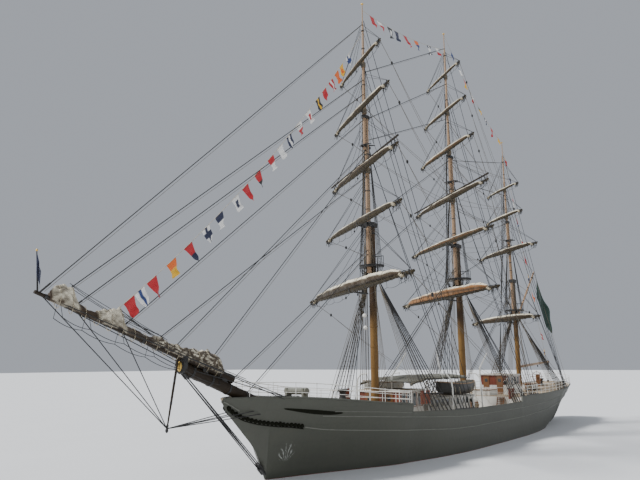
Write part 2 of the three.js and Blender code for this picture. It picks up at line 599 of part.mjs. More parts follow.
function makeStriker(bowsprit) {
  const [hx, hz] = STRIKER.head;
  const [tx, tz] = STRIKER.tip;
  const spike = rod(vec(hx, 0, hz), vec(tx, 0, tz), STRIKER.radius, STRIKER.radius * 0.55, 8);
  const tip = vec(tx, 0, tz + 0.1);
  const wires = MARTINGALE_ENDS.map((x) => wire(tip, vec(x, 0, boomAxis(x))));
  for (const side of [-1, 1]) {
    for (const [x, y, z] of BACKROPE_ENDS) wires.push(wire(tip, vec(x, side * y, z)));
  }
  const carrier = grown(bowsprit).add(bowsprit.translate([0, 0, -GAP]));
  return largest(seated(join(spike, ...wires)).subtract(carrier));
}

// The furled jibs lie astride the jib-boom as one long bundle that rises to a heap under each stay.
function makeJibs(bowsprit, striker) {
  const rings = JIB_BUNDLE.map(([x, half, height]) => {
    const axis = boomAxis(x);
    return JIB_SECTION.map(([y, z]) => vec(x, y * half, axis + z * height));
  });
  return largest(loft(rings).subtract(grown(bowsprit)).subtract(grown(striker)));
}

// Deck pieces

function makeHouse({ aft, fore, half, deck, top, overhang }) {
  const under = top - ROOF_THICKNESS;
  const walls = box(aft, fore, -half, half, deck + GAP, under);
  const roof = box(aft - overhang, fore + overhang, -half - overhang, half + overhang, under, top);
  return join(walls, roof);
}

function makeMainDeckhouse() {
  const house = makeHouse(HOUSES.main_deckhouse);
  const posts = [];
  for (const x of [AWNING.back + 0.15, 0, 1.95]) {
    for (const y of [-1.8, 1.8]) {
      const under = AWNING.z + AWNING.ridge * (1 - Math.abs(y) / AWNING.half) - AWNING.thickness;
      posts.push(rod(vec(x, y, SKID_Z - 0.05), vec(x, y, under - GAP - 0.004), 0.04, 0.04, 6));
      posts.push(rod(vec(x, 0.9 * y, SKID_Z - 0.05), vec(x, y, SKID_Z + 0.5), 0.03, 0.03, 6));
    }
  }
  return join(house, ...posts);
}

function makeAwning() {
  const { front, bend, slope, back, half, z, ridge, thickness } = AWNING;
  const section = new THREE.Shape();
  section.moveTo(-half, z - thickness);
  section.lineTo(0, z + ridge - thickness);
  section.lineTo(half, z - thickness);
  section.lineTo(half, z);
  section.lineTo(0, z + ridge);
  section.lineTo(-half, z);
  section.closePath();
  const steps = 11;
  const sheet = new THREE.ExtrudeGeometry(section, { depth: front - back, bevelEnabled: false, steps });
  sheet.applyMatrix4(new THREE.Matrix4().makeBasis(vec(0, 1, 0), vec(0, 0, 1), vec(1, 0, 0)));
  sheet.translate(back, 0, 0);
  const { position } = sheet.attributes;
  for (let i = 0; i < position.count; i += 1) {
    position.setZ(i, position.getZ(i) - slope * Math.max(0, position.getX(i) - bend));
  }
  return outward(sheet);
}

function makeSkids() {
  const { half, reach, post, rail, railHalf } = SKID_BEAM;
  const top = SKID_Z + SKID_HEIGHT;
  const pieces = [];
  for (const x of SKIDS) {
    pieces.push(box(x - half, x + half, -reach, reach, SKID_Z + GAP, top));
    for (const y of [-post, post]) {
      pieces.push(box(x - half, x + half, y - half, y + half, MAIN_DECK_Z + GAP, SKID_Z + 0.1));
    }
  }
  for (const y of [-rail, rail]) {
    pieces.push(box(SKIDS[0], SKIDS[1], y - railHalf, y + railHalf, SKID_Z + GAP, top));
  }
  return join(...pieces);
}

function makeBoat(side) {
  const { x, y, keel, length, beam, depth } = BOAT;
  const rings = [];
  for (const share of [-1, -0.9, -0.7, -0.4, 0, 0.4, 0.7, 0.9, 1]) {
    const full = Math.max(0.06, Math.sqrt(Math.max(0, 1 - Math.pow(Math.abs(share), 2.6))));
    const half = (beam / 2) * full;
    const sheer = depth + 0.22 * share * share;
    const low = 0.6 * Math.pow(Math.max(0, Math.abs(share) - 0.4), 2);
    const at = x + (share * length) / 2;
    rings.push([
      vec(at, y * side - half * 0.12, keel + low), vec(at, y * side - half * 0.72, keel + low + 0.18),
      vec(at, y * side - half, keel + sheer), vec(at, y * side, keel + sheer + 0.1 * full),
      vec(at, y * side + half, keel + sheer), vec(at, y * side + half * 0.72, keel + low + 0.18),
      vec(at, y * side + half * 0.12, keel + low),
    ]);
  }
  return loft(rings);
}

function makeWindlass() {
  const { x, half, rise, radius, cheek, bed } = WINDLASS;
  const deck = hullAt('deck', x);
  const barrel = rod(vec(x, -half, deck + rise), vec(x, half, deck + rise), radius, radius, 12);
  const cheeks = [-cheek, cheek].map((y) => {
    return box(x - 0.28, x + 0.28, y - 0.08, y + 0.08, deck - 0.2, deck + rise + 0.2);
  });
  const base = box(x - bed, x + bed, -half - 0.05, half + 0.05, deck - 0.2, deck + 0.12);
  return seated(join(barrel, base, ...cheeks));
}

// Stern gear

function makeRudder() {
  const { stockX, top, bottom, aft, thickness, stock } = RUDDER;
  const section = (z, back) => [
    vec(stockX + 0.28, 0, z), vec(stockX, thickness / 2, z), vec(back, 0.04, z),
    vec(back, -0.04, z), vec(stockX, -thickness / 2, z),
  ];
  const blade = loft([section(bottom, aft + 0.25), section(-2.4, aft), section(top - 0.1, aft + 0.55)]);
  const shaft = rod(vec(stockX, 0, KEEL_Z + 0.3 + GAP), vec(stockX, 0, TRUNK.head), stock, stock, 10);
  return seated(join(blade, shaft));
}

function makePropeller() {
  const { x, z, radius, hub, blades } = PROPELLER;
  const boss = rod(vec(STERNPOST_X - 0.002 - GAP, 0, 0), vec(x - 0.3, 0, 0), hub * 0.8, hub * 0.55, 12);
  const pieces = [boss];
  for (let i = 0; i < blades; i += 1) {
    const shape = new THREE.Shape();
    shape.moveTo(-0.12, 0.05);
    shape.quadraticCurveTo(-0.42, radius * 0.6, -0.1, radius);
    shape.lineTo(0.12, radius);
    shape.quadraticCurveTo(0.36, radius * 0.5, 0.12, 0.05);
    const blade = new THREE.ExtrudeGeometry(shape, { depth: 0.05, bevelEnabled: false, curveSegments: 5 });
    blade.translate(0, 0, -0.025);
    blade.rotateY(Math.PI / 2 + 0.5);
    blade.rotateX((i * 2 * Math.PI) / blades);
    pieces.push(toSolid(blade).translate([x, 0, 0]));
  }
  return join(...pieces).translate([0, 0, z]);
}

function makeWheel() {
  const { radius, spokes } = WHEEL;
  const rim = new THREE.TorusGeometry(radius * 0.78, 0.035, 4, 16);
  rim.rotateY(Math.PI / 2);
  const pieces = [toSolid(rim), rod(vec(-0.06, 0, 0), vec(0.12, 0, 0), 0.1, 0.1, 10)];
  for (let i = 0; i < spokes; i += 1) {
    const angle = (i * 2 * Math.PI) / spokes;
    const handle = vec(0, radius * Math.cos(angle), radius * Math.sin(angle));
    pieces.push(rod(vec(0, 0, 0), handle, 0.025, 0.025, 4));
  }
  return join(...pieces);
}

function makeWheelStand() {
  const { x, z } = WHEEL;
  const deck = hullAt('deck', x - 0.6);
  const front = x - 0.12;
  const body = box(front - 0.55, front - 0.06, -0.22, 0.22, deck - 0.3, z + 0.28);
  const shaft = rod(vec(front - 0.1, 0, z), vec(x - 0.06 - GAP, 0, z), 0.06, 0.06, 10);
  return seated(join(body, shaft));
}

// Fore-and-aft spars of the mizzen, with the pivot as the local origin.

function gooseneck() {
  return rod(vec(0, 0, -NECK_HALF), vec(0, 0, NECK_HALF), 0.12, 0.12, 10);
}

function makeBoom() {
  const { rise, length, radius } = BOOM;
  const spar = rod(vec(-0.2, 0, 0), vec(-length, 0, rise), radius, radius * 0.7, 12);
  return join(spar, gooseneck(), box(-0.35, 0, -0.08, 0.08, -0.1, 0.1));
}

function makeGaff() {
  const { rise, length, radius } = GAFF;
  const spar = rod(vec(-0.2, 0, 0.18), vec(-length, 0, rise), radius, radius * 0.6, 12);
  return join(spar, gooseneck(), box(-0.45, 0, -0.08, 0.08, -0.1, 0.22));
}

// The shelf on the mast that carries a gooseneck.
function makeShelf(mast, spar) {
  const pivot = mast.x - mast.radius - NECK_REACH;
  const top = spar.z - NECK_HALF - GAP;
  return box(pivot - 0.12, mast.x, -0.12, 0.12, top - 0.12, top);
}

// Main stays, each one rod from a masthead down and forward.
const STAY_COLUMNS = ['name', 'mast', 'headZ', 'footX', 'footZ'];
const STAYS = [
  ['fore_stay', 'fore', 17.0, 23.9, 5.0],
  ['main_stay', 'main', 17.8, 7.6, 5.4],
  ['mizzen_stay', 'mizzen', 16.8, -9.0, 5.0],
].map((row) => Object.fromEntries(STAY_COLUMNS.map((name, i) => [name, row[i]])));

// Stays from the foremast to the jib-boom: step of the head from the mast, its height, and the foot's x.
const JIB_STAYS = [
  [0.5, 26.15, 29.6], [0.8, 28.9, 33.05], [0.8, 31.3, 35.9], [0.8, 32.7, 36.9], [0.8, 38.2, 37.7],
];
// Stays of the upper masts: step of the head, its height, then x and height of the foot on the next mast.
const UPPER_STAYS = {
  fore: [],
  main: [
    [0.5, 26.5, 8.0, 16.3], [0.7, 29.6, 8.2, 19.75], [0.8, 34.4, 8.5, 26.9], [0.8, 38.6, 8.6, 28.85],
    [0.8, 43.0, 8.65, 33.4],
  ],
  mizzen: [
    [0.5, 22.5, -9.1, 16.5], [0.7, 25.2, -8.9, 20.3], [0.8, 28.9, -8.7, 27.3], [0.8, 33.4, -8.6, 29.5],
  ],
};

// Stays that are fused to their mast and end just short of the next one forward.
function makeUpperStays(name, carrier) {
  const { x } = MASTS[name];
  return UPPER_STAYS[name].map(([step, z, footX, footZ]) => {
    const stay = wire(vec(x + step, 0, z), vec(footX, 0, footZ));
    return largest(stay.subtract(carrier));
  });
}

// Assembly

const ship = new THREE.Group();

function add(name, solid, finish, parent = ship) {
  const mesh = new THREE.Mesh(toGeometry(solid), finish);
  mesh.name = name;
  parent.add(mesh);
  return mesh;
}

function pivotGroup(x, z, turn = 0) {
  const group = new THREE.Group();
  group.position.set(x * SCALE, 0, z * SCALE);
  group.rotation.z = turn;
  ship.add(group);
  return group;
}

add('hull', hull, FINISH.hull);
const mastSolids = {};
let ahead = null;
for (const [name, mast] of Object.entries(MASTS)) {
  const shelves = name === 'mizzen' ? [BOOM, GAFF].map((spar) => makeShelf(mast, spar)) : [];
  const stays = ahead ? makeUpperStays(name, grown(ahead)) : [];
  ahead = join(makeMast(mast), ...shelves);
  mastSolids[name] = join(ahead, ...stays);
  add(`${name}mast`, mastSolids[name], FINISH.spar);
  for (const [side, label] of [[1, 'port'], [-1, 'starboard']]) {
    add(`${label}_${name}_shrouds`, makeShrouds(name, side), FINISH.wire);
  }
}

for (const yard of YARDS) {
  const mast = MASTS[yard.mast];
  const group = pivotGroup(pivotX(mast, yard), yard.z, THREE.MathUtils.degToRad(BRACE_DEG[yard.mast]));
  const spar = makeYard(yard);
  add(yard.name, spar, FINISH.yard, group);
  const sail = largest(makeSail(yard).subtract(grown(spar)));
  add(yard.name.replace('_yard', '_sail'), sail, FINISH.sail, group);
}

const bowsprit = makeBowsprit();
add('bowsprit', bowsprit, FINISH.spar);
const striker = makeStriker(bowsprit);
add('dolphin_striker', striker, FINISH.spar);
add('furled_jibs', makeJibs(bowsprit, striker), FINISH.sail);

for (const stay of STAYS) {
  const mast = MASTS[stay.mast];
  const stout = rod(vec(stay.footX, 0, stay.footZ), vec(mast.x, 0, stay.headZ), 0.045, 0.045, 6);
  const carriers = [mastSolids[stay.mast], mastSolids.fore, mastSolids.main, bowsprit];
  const cut = carriers.reduce((solid, carrier) => solid.subtract(grown(carrier)), seated(stout));
  add(stay.name, largest(cut), FINISH.wire);
}

add('fore_deckhouse', makeHouse(HOUSES.fore_deckhouse), FINISH.white);
add('main_deckhouse', makeMainDeckhouse(), FINISH.white);
add('chart_house', makeHouse(HOUSES.chart_house), FINISH.white);
add('awning', makeAwning(), FINISH.sail);
add('boat_skids', makeSkids(), FINISH.white);
add('port_boat', makeBoat(1), FINISH.dark);
add('starboard_boat', makeBoat(-1), FINISH.dark);
add('windlass', makeWindlass(), FINISH.dark);
add('steering_stand', makeWheelStand(), FINISH.wood);
add('rudder', makeRudder(), FINISH.hull);
add('propeller', makePropeller(), FINISH.bronze);

const wheel = add('steering_wheel', makeWheel(), FINISH.wood);
wheel.position.set(WHEEL.x * SCALE, 0, WHEEL.z * SCALE);

const mizzen = MASTS.mizzen;
const sparPivot = mizzen.x - mizzen.radius - NECK_REACH;
add('spanker_boom', makeBoom(), FINISH.spar, pivotGroup(sparPivot, BOOM.z));
add('spanker_gaff', makeGaff(), FINISH.spar, pivotGroup(sparPivot, GAFF.z));

export default ship;
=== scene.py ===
"""Finished surfaces of a three-masted full-rigged ship, a scale model at 1:2, built around its solids.

Every size below is the real ship's, in metres, and MODEL turns it into metres of the model.
X is forward to the bow, Y to port and Z up from the waterline.
"""

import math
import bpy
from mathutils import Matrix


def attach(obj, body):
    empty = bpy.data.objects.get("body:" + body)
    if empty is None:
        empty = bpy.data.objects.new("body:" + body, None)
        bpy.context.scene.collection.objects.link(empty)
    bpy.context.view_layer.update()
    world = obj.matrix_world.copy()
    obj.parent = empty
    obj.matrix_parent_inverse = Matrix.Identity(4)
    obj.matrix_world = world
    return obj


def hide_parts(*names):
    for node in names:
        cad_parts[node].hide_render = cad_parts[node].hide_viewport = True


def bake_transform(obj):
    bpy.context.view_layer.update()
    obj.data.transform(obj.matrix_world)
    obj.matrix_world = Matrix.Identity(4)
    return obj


bl_info = {
    "name": "Full-rigged ship",
    "version": (1, 0, 0),
    "blender": (4, 5, 0),
    "location": "3D View > Sidebar > Ship",
    "description": "Hull, spars, furled sails, rigging and flags of a three-masted ship",
    "category": "Add Mesh",
}

from types import SimpleNamespace

import bpy
import numpy as np
from bpy.props import FloatProperty, FloatVectorProperty, IntProperty, PointerProperty
from bpy.types import Operator, Panel, PropertyGroup
from mathutils import Matrix

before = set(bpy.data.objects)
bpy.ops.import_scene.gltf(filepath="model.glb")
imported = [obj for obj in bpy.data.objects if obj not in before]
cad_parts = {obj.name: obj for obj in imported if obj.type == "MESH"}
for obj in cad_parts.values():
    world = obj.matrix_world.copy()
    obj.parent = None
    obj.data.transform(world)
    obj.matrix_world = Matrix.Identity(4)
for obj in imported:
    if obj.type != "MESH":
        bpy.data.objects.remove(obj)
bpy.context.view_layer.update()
MODEL = 0.5

# Driving dimensions of the real ship


def table(columns, rows):
    """Rows with named columns, as a dict from each row's first value."""
    names = columns.split()
    return {row[0]: SimpleNamespace(**dict(zip(names, row))) for row in rows}


MAIN_DECK = 2.45
QUARTERDECK = 3.85
TOPMAST_STEP = 0.5
POLE_STEP = 0.8
CROSSTREE = 0.31  # half length of a crosstree, as a share of the top's width
TRUSS_PIVOT = 1.0
TRUSS_ARM = 1.35
CAP_ARM = 0.62
BULWARK = 0.15
KEEL_Z = -4.5
STERNPOST = -29.3

# Sections of the hull from the stern to the bow: x, bottom, half breadth at the water and at the rail,
# rail height, deck height, fullness of the bottom and flare of the side.
STATIONS = np.array([
    [-38.0, 3.70, 0.00, 0.70, 4.85, 4.80, 0.55, 0.5],
    [-37.6, 3.05, 0.00, 1.75, 4.80, 4.70, 0.50, 0.5],
    [-36.6, 2.30, 0.00, 2.75, 4.72, 4.60, 0.48, 0.5],
    [-35.0, 1.55, 0.00, 3.45, 4.60, 4.48, 0.48, 0.5],
    [-33.0, 0.75, 0.00, 3.90, 4.45, 4.30, 0.50, 0.5],
    [-31.0, 0.05, 0.00, 4.20, 4.30, 4.15, 0.52, 0.5],
    [STERNPOST - 0.002, -0.80, 0.90, 4.40, 4.20, QUARTERDECK, 1.2, 0.5],
    [STERNPOST, KEEL_Z, 1.00, 4.40, 4.20, QUARTERDECK, 1.2, 0.5],
    [-26.0, KEEL_Z, 2.70, 4.70, 4.10, QUARTERDECK, 1.4, 0.55],
    [-21.0, KEEL_Z, 4.20, 4.98, 4.02, QUARTERDECK, 1.9, 0.7],
    [-15.0, -4.45, 4.95, 5.18, 3.98, QUARTERDECK, 2.6, 0.9],
    [-12.0, -4.42, 5.10, 5.22, 3.98, QUARTERDECK, 2.9, 1.0],
    [-11.9, -4.42, 5.10, 5.22, 3.45, MAIN_DECK, 2.9, 1.0],
    [-6.0, -4.36, 5.20, 5.25, 3.42, MAIN_DECK, 3.2, 1.0],
    [0.0, -4.30, 5.20, 5.25, 3.45, MAIN_DECK, 3.2, 1.0],
    [5.0, -4.24, 4.85, 5.20, 3.58, MAIN_DECK, 2.9, 1.0],
    [10.4, -4.15, 3.95, 4.94, 3.78, MAIN_DECK, 2.3, 1.1],
    [10.5, -4.15, 3.94, 5.09, 4.38, 4.28, 2.3, 1.1],
    [14.0, -4.00, 2.75, 4.62, 4.66, 4.56, 1.8, 1.25],
    [17.0, -3.75, 1.60, 3.98, 4.95, 4.85, 1.5, 1.25],
    [19.2, -3.20, 0.80, 3.32, 5.14, 5.04, 1.3, 1.25],
    [20.6, -2.10, 0.36, 2.75, 5.24, 5.14, 1.2, 1.25],
    [21.4, -0.05, 0.05, 2.38, 5.28, 5.18, 1.2, 1.25],
    [22.3, 1.80, 0.00, 1.88, 5.31, 5.21, 0.85, 1.25],
    [23.4, 2.92, 0.00, 1.25, 5.32, 5.22, 0.80, 1.25],
    [24.5, 3.95, 0.00, 0.62, 5.32, 5.24, 0.75, 1.25],
    [25.1, 4.55, 0.00, 0.30, 5.32, 5.26, 0.70, 1.25],
    [25.45, 5.15, 0.00, 0.12, 5.31, 5.28, 0.70, 1.25],
])
BREAKS = (-12.0, 10.4)  # ends of the raised decks
RAIL_COLUMN, DECK_COLUMN, HALF_COLUMN = 4, 5, 3
SIDES = ((1, "port"), (-1, "starboard"))

MASTS = table("name x foot top cap trees upper_cap truck radius top_width", [
    ("fore", 7.9, MAIN_DECK, 15.5, 19.4, 26.4, 29.2, 40.3, 0.34, 2.0),
    ("main", -9.3, MAIN_DECK, 16.1, 20.0, 27.0, 30.0, 44.9, 0.36, 2.7),
    ("mizzen", -25.6, QUARTERDECK, 13.8, 17.8, 22.9, 25.45, 36.3, 0.30, 2.2),
])
BRACE_DEG = {"fore": -34.5, "main": -37.0, "mizzen": -38.5}

# Yards: sling, height, half length, radius, radius of the furled sail, height that the lifts rise,
# where the braces lead to (x, half breadth and height), and how high and how warm the painted shade on the
# sail's underside is.
YARDS = table("name mast sling z half radius sail lift lead tan", [
    ("fore_yard", "fore", "truss", 13.45, 11.6, 0.25, 0.42, 19.3, (-13.4, 5.1, 4.2), 0.25),
    ("fore_lower_topsail_yard", "fore", "cap", 19.2, 8.6, 0.19, 0.24, 23.4, (-9.0, 0.5, 15.4), 0.2),
    ("fore_upper_topsail_yard", "fore", "topmast", 24.1, 7.6, 0.18, 0.28, 28.9, (-8.8, 0.5, 19.5), 0.3),
    ("fore_topgallant_yard", "fore", "pole", 29.6, 6.5, 0.15, 0.24, 33.2, (-8.6, 0.4, 24.6), 0.3),
    ("fore_royal_yard", "fore", "pole", 34.1, 4.9, 0.12, 0.18, 38.0, (-8.5, 0.4, 27.0), 0.5),
    ("main_yard", "main", "truss", 14.15, 10.9, 0.25, 0.48, 19.9, (-29.6, 4.3, 4.9), 1.0),
    ("main_lower_topsail_yard", "main", "cap", 20.05, 9.4, 0.19, 0.26, 24.2, (-25.3, 0.5, 13.2), 0.6),
    ("main_upper_topsail_yard", "main", "topmast", 24.95, 8.5, 0.18, 0.28, 29.7, (-25.2, 0.4, 17.4), 0.3),
    ("main_topgallant_yard", "main", "pole", 30.4, 6.4, 0.15, 0.26, 34.2, (-25.0, 0.4, 22.3), 0.7),
    ("main_royal_yard", "main", "pole", 35.0, 5.15, 0.12, 0.19, 38.6, (-24.9, 0.3, 25.2), 0.5),
    ("main_skysail_yard", "main", "pole", 39.4, 4.15, 0.10, 0.14, 42.4, (-24.8, 0.3, 28.6), 0.5),
    ("crossjack_yard", "mizzen", "truss", 12.6, 8.1, 0.20, 0.30, 17.6, (-9.6, 0.5, 15.3), 0.3),
    ("mizzen_topsail_yard", "mizzen", "topmast", 21.4, 7.1, 0.17, 0.28, 25.1, (-9.5, 0.5, 19.4), 0.3),
    ("mizzen_topgallant_yard", "mizzen", "pole", 25.95, 4.5, 0.13, 0.20, 29.0, (-8.9, 0.4, 24.8), 0.3),
    ("mizzen_royal_yard", "mizzen", "pole", 29.6, 3.95, 0.10, 0.15, 33.6, (-8.6, 0.4, 29.6), 0.3),
])
# Backstays: how far aft of the mast each is set up, and the height of its head.
BACKSTAYS = {
    "fore": [(4.6, 25.95), (5.4, 25.75), (5.9, 30.75), (6.5, 33.55), (7.1, 35.3), (7.9, 38.5)],
    "main": [(4.6, 26.6), (5.4, 26.4), (5.9, 31.4), (6.5, 36.4), (7.1, 37.45), (7.9, 42.5)],
    "mizzen": [(4.6, 22.5), (5.4, 22.3), (3.8, 27.1), (4.0, 29.0), (4.2, 30.8), (4.4, 34.4)],
}
YARD_TAPER = np.array([[0, 1], [0.4, 0.9], [0.8, 0.6], [1, 0.42]])
SAIL_TAPER = np.array([[0, 1.03], [0.25, 0.98], [0.55, 0.88], [0.73, 0.7], [0.82, 0.28]])

BOWSPRIT = SimpleNamespace(heel=(20.2, 0, 4.15), tip=(28.7, 0, 7.22), radius=0.38, end=0.33)
JIBBOOM = SimpleNamespace(heel=(24.6, 0, 6.42), tip=(37.9, 0, 10.83), radius=0.26, end=0.09)
STRIKER = SimpleNamespace(heel=(28.98, 0, 7.78), tip=(29.6, 0, 3.75), radius=0.075)
JACKSTAFF = SimpleNamespace(heel=(37.75, 0, 10.85), tip=(37.95, 0, 12.84))
BOOM = SimpleNamespace(z=6.9, rise=0.6, length=11.4, radius=0.17)
GAFF = SimpleNamespace(z=12.9, rise=6.9, length=7.7, radius=0.13)
SPANKER_PIVOT = -26.2

SKID_TOP = 4.63
BOAT = SimpleNamespace(x=0.4, y=3.74, length=6.6, beam=1.86, depth=0.95)
AWNING = SimpleNamespace(front=6.4, bend=3.4, slope=0.14, back=-4.6, half=2.55, z=6.15, ridge=0.22, bays=5)
HOUSES = table("name aft fore half deck top overhang", [
    ("fore_deckhouse", 3.2, 7.3, 1.95, MAIN_DECK, 5.2, 0.12),
    ("main_deckhouse", -6.6, 2.2, 1.85, MAIN_DECK, 4.45, 0.1),
    ("chart_house", -21.4, -17.2, 1.6, QUARTERDECK, 6.1, 0.12),
])

# The jibs furled on the jib-boom: x, half width, and height of the bundle over the boom's axis.
JIB_BUNDLE = np.array([
    [37.15, 0.16, 0.22], [36.95, 0.3, 0.6], [36.4, 0.34, 0.95], [35.95, 0.24, 1.0], [35.6, 0.2, 0.36],
    [34.7, 0.18, 0.26], [34.4, 0.28, 0.42], [33.6, 0.32, 0.85], [33.05, 0.24, 1.12], [32.75, 0.22, 0.36],
    [31.2, 0.24, 0.3], [30.6, 0.3, 0.5], [30.1, 0.26, 0.6], [29.8, 0.28, 0.38], [29.1, 0.34, 0.56],
    [28.2, 0.4, 0.62], [27.4, 0.46, 0.85], [26.6, 0.48, 1.02], [25.9, 0.42, 1.0], [25.55, 0.3, 0.6],
])

# Camera that took the photograph, in metres of the model and degrees, and its focal length in pixels.
CAMERA = SimpleNamespace(place=(26.676, 14.478, 3.6835), yaw=217.318, pitch=11.1764, roll=-0.318)
FOCAL_PIXELS = 626.818
PHOTO_WIDTH = 640

# Properties


def metres(name, description, default):
    return FloatProperty(name=name, description=description, default=default, unit="LENGTH")


def swatch(name, description, default):
    return FloatVectorProperty(name=name, description=description, default=default, subtype="COLOR")


class ShipSizes(PropertyGroup):
    """Sizes that a user would change, in metres of the real ship."""

    wire: metres("Shroud radius", "Radius of the shrouds and stays", 0.028)
    line: metres("Line radius", "Radius of the running rigging", 0.016)
    ratline: metres("Ratline step", "Height between ratlines", 0.42)
    gasket: metres("Gasket step", "Distance between gaskets on a furled sail", 1.0)
    flag: metres("Flag hoist", "Hoist of a signal flag", 0.85)
    sides: IntProperty(name="Spar sides", description="Faces round a spar", default=20, min=8)


class ShipColours(PropertyGroup):
    """Colours that a user would change."""

    hull: swatch("Hull", "Topsides", (0.070, 0.072, 0.056))
    bottom: swatch("Bottom", "Paint below the water", (0.16, 0.035, 0.025))
    mast: swatch("Lower masts", "Paint of the lower masts", (0.20, 0.108, 0.029))
    wood: swatch("Upper masts", "Varnish of the upper spars", (0.37, 0.24, 0.145))
    yard: swatch("Yards", "Paint of the yards", (0.042, 0.032, 0.016))
    sail: swatch("Sails", "Sailcloth", (0.74, 0.68, 0.53))
    wire: swatch("Wire", "Tarred wire", (0.022, 0.021, 0.020))


def sizes():
    return bpy.context.scene.ship_sizes


def colours():
    return bpy.context.scene.ship_colours


# Shader maths


def arithmetic(operation, swap=False):
    """An operator of Socket that adds one Math node."""
    return lambda self, other: self.maths(operation, other, swap=swap)


class Socket:
    """A shader value; arithmetic on it adds Math nodes."""

    __add__ = __radd__ = arithmetic("ADD")
    __mul__ = __rmul__ = arithmetic("MULTIPLY")
    __sub__ = arithmetic("SUBTRACT")
    __rsub__ = arithmetic("SUBTRACT", swap=True)
    __truediv__ = arithmetic("DIVIDE")

    def __init__(self, paint, socket):
        self.paint = paint
        self.socket = socket

    def maths(self, operation, *others, swap=False):
        values = [self, *others][::-1] if swap else [self, *others]
        return self.paint.value("ShaderNodeMath", {"operation": operation}, dict(enumerate(values)))

    def near(self, spacing, width):
        """1 on evenly spaced lines across this value, falling to 0 at the width to each side."""
        share = (self / spacing + 0.5).maths("FRACT")
        off = (share - 0.5).maths("ABSOLUTE") * spacing
        return (1 - off / width).clamped()

    def above(self, edge, soft):
        """0 below the edge and 1 above it, over the soft width."""
        return ((self - edge) / soft + 0.5).clamped()

    def clamped(self):
        return self.maths("MINIMUM", 1.0).maths("MAXIMUM", 0.0)


class Paint:
    """A node-based material under construction."""

    def __init__(self, name):
        self.material = bpy.data.materials.new(name)
        self.material.use_nodes = True
        self.nodes = self.material.node_tree.nodes
        self.links = self.material.node_tree.links
        self.nodes.clear()
        self.shader = self.nodes.new("ShaderNodeBsdfPrincipled")
        output = self.nodes.new("ShaderNodeOutputMaterial")
        self.links.new(self.shader.outputs[0], output.inputs["Surface"])

    def plug(self, socket, value):
        """Links a socket to what varies, or sets a number or colour on it."""
        if isinstance(value, Socket):
            self.links.new(value.socket, socket)
        else:
            socket.default_value = (*value, 1.0) if socket.type == "RGBA" else value

    def node(self, kind, settings, inputs):
        """Any node: its settings first, then values or links of its inputs by place or by name."""
        made = self.nodes.new(kind)
        for name, value in settings.items():
            setattr(made, name, value)
        for key, value in inputs.items():
            self.plug(made.inputs[key], value)
        return made

    def value(self, kind, settings, inputs, output=0):
        """One output of a new node."""
        return Socket(self, self.node(kind, settings, inputs).outputs[output])

    def parts(self, kind, whole):
        """The three values that a vector or colour is made of."""
        return [Socket(self, one) for one in self.node(kind, {}, {0: whole}).outputs]

    def place(self):
        """Object coordinates in metres of the model, as a vector."""
        return self.value("ShaderNodeTexCoord", {}, {}, "Object")

    def axes(self):
        return self.parts("ShaderNodeSeparateXYZ", self.place())

    def stretched(self, scale):
        """Object coordinates multiplied along each axis."""
        return self.value("ShaderNodeVectorMath", {"operation": "MULTIPLY"}, {0: self.place(), 1: scale})

    def noise(self, scale, detail, stretch=(1.0, 1.0, 1.0)):
        inputs = {"Vector": self.stretched(stretch), "Scale": scale, "Detail": detail, "Roughness": 0.55}
        return self.value("ShaderNodeTexNoise", {}, inputs)

    def cells(self, scale, stretch=(1.0, 1.0, 1.0)):
        inputs = {"Vector": self.stretched(stretch), "Scale": scale}
        return self.value("ShaderNodeTexVoronoi", {}, inputs, "Distance")

    def tint(self):
        """The piece's own colour attribute: colours of flags, and painted shade masks of cloth."""
        return self.value("ShaderNodeAttribute", {"attribute_name": "Tint"}, {}, "Color")

    def mix(self, factor, first, second):
        """Colour from the first to the second as the factor goes from 0 to 1."""
        return self.value("ShaderNodeMix", {"data_type": "RGBA"}, {0: factor, 6: first, 7: second}, 2)

    def mottled(self, factor, colour, low, high):
        """A colour between its darker and its lighter share."""
        return self.mix(factor, darker(colour, low), darker(colour, high))

    def coats(self, base, *layers):
        """The base under layers of a mask and its colour, in order."""
        for mask, colour in layers:
            base = self.mix(mask, base, colour)
        return base

    def finish(self, base, rough, height=None, depth=0.002, **constants):
        """Links what varies and sets what doesn't, and returns the material."""
        values = {name.replace("_", " "): value for name, value in constants.items()}
        values.update({"Base Color": base, "Roughness": rough})
        if height is not None:
            inputs = {"Height": height, "Distance": depth, "Strength": 0.8}
            values["Normal"] = self.value("ShaderNodeBump", {}, inputs)
        for name, value in values.items():
            self.plug(self.shader.inputs[name], value)
        return self.material


def darker(colour, share):
    return tuple(channel * share for channel in colour)


# Materials


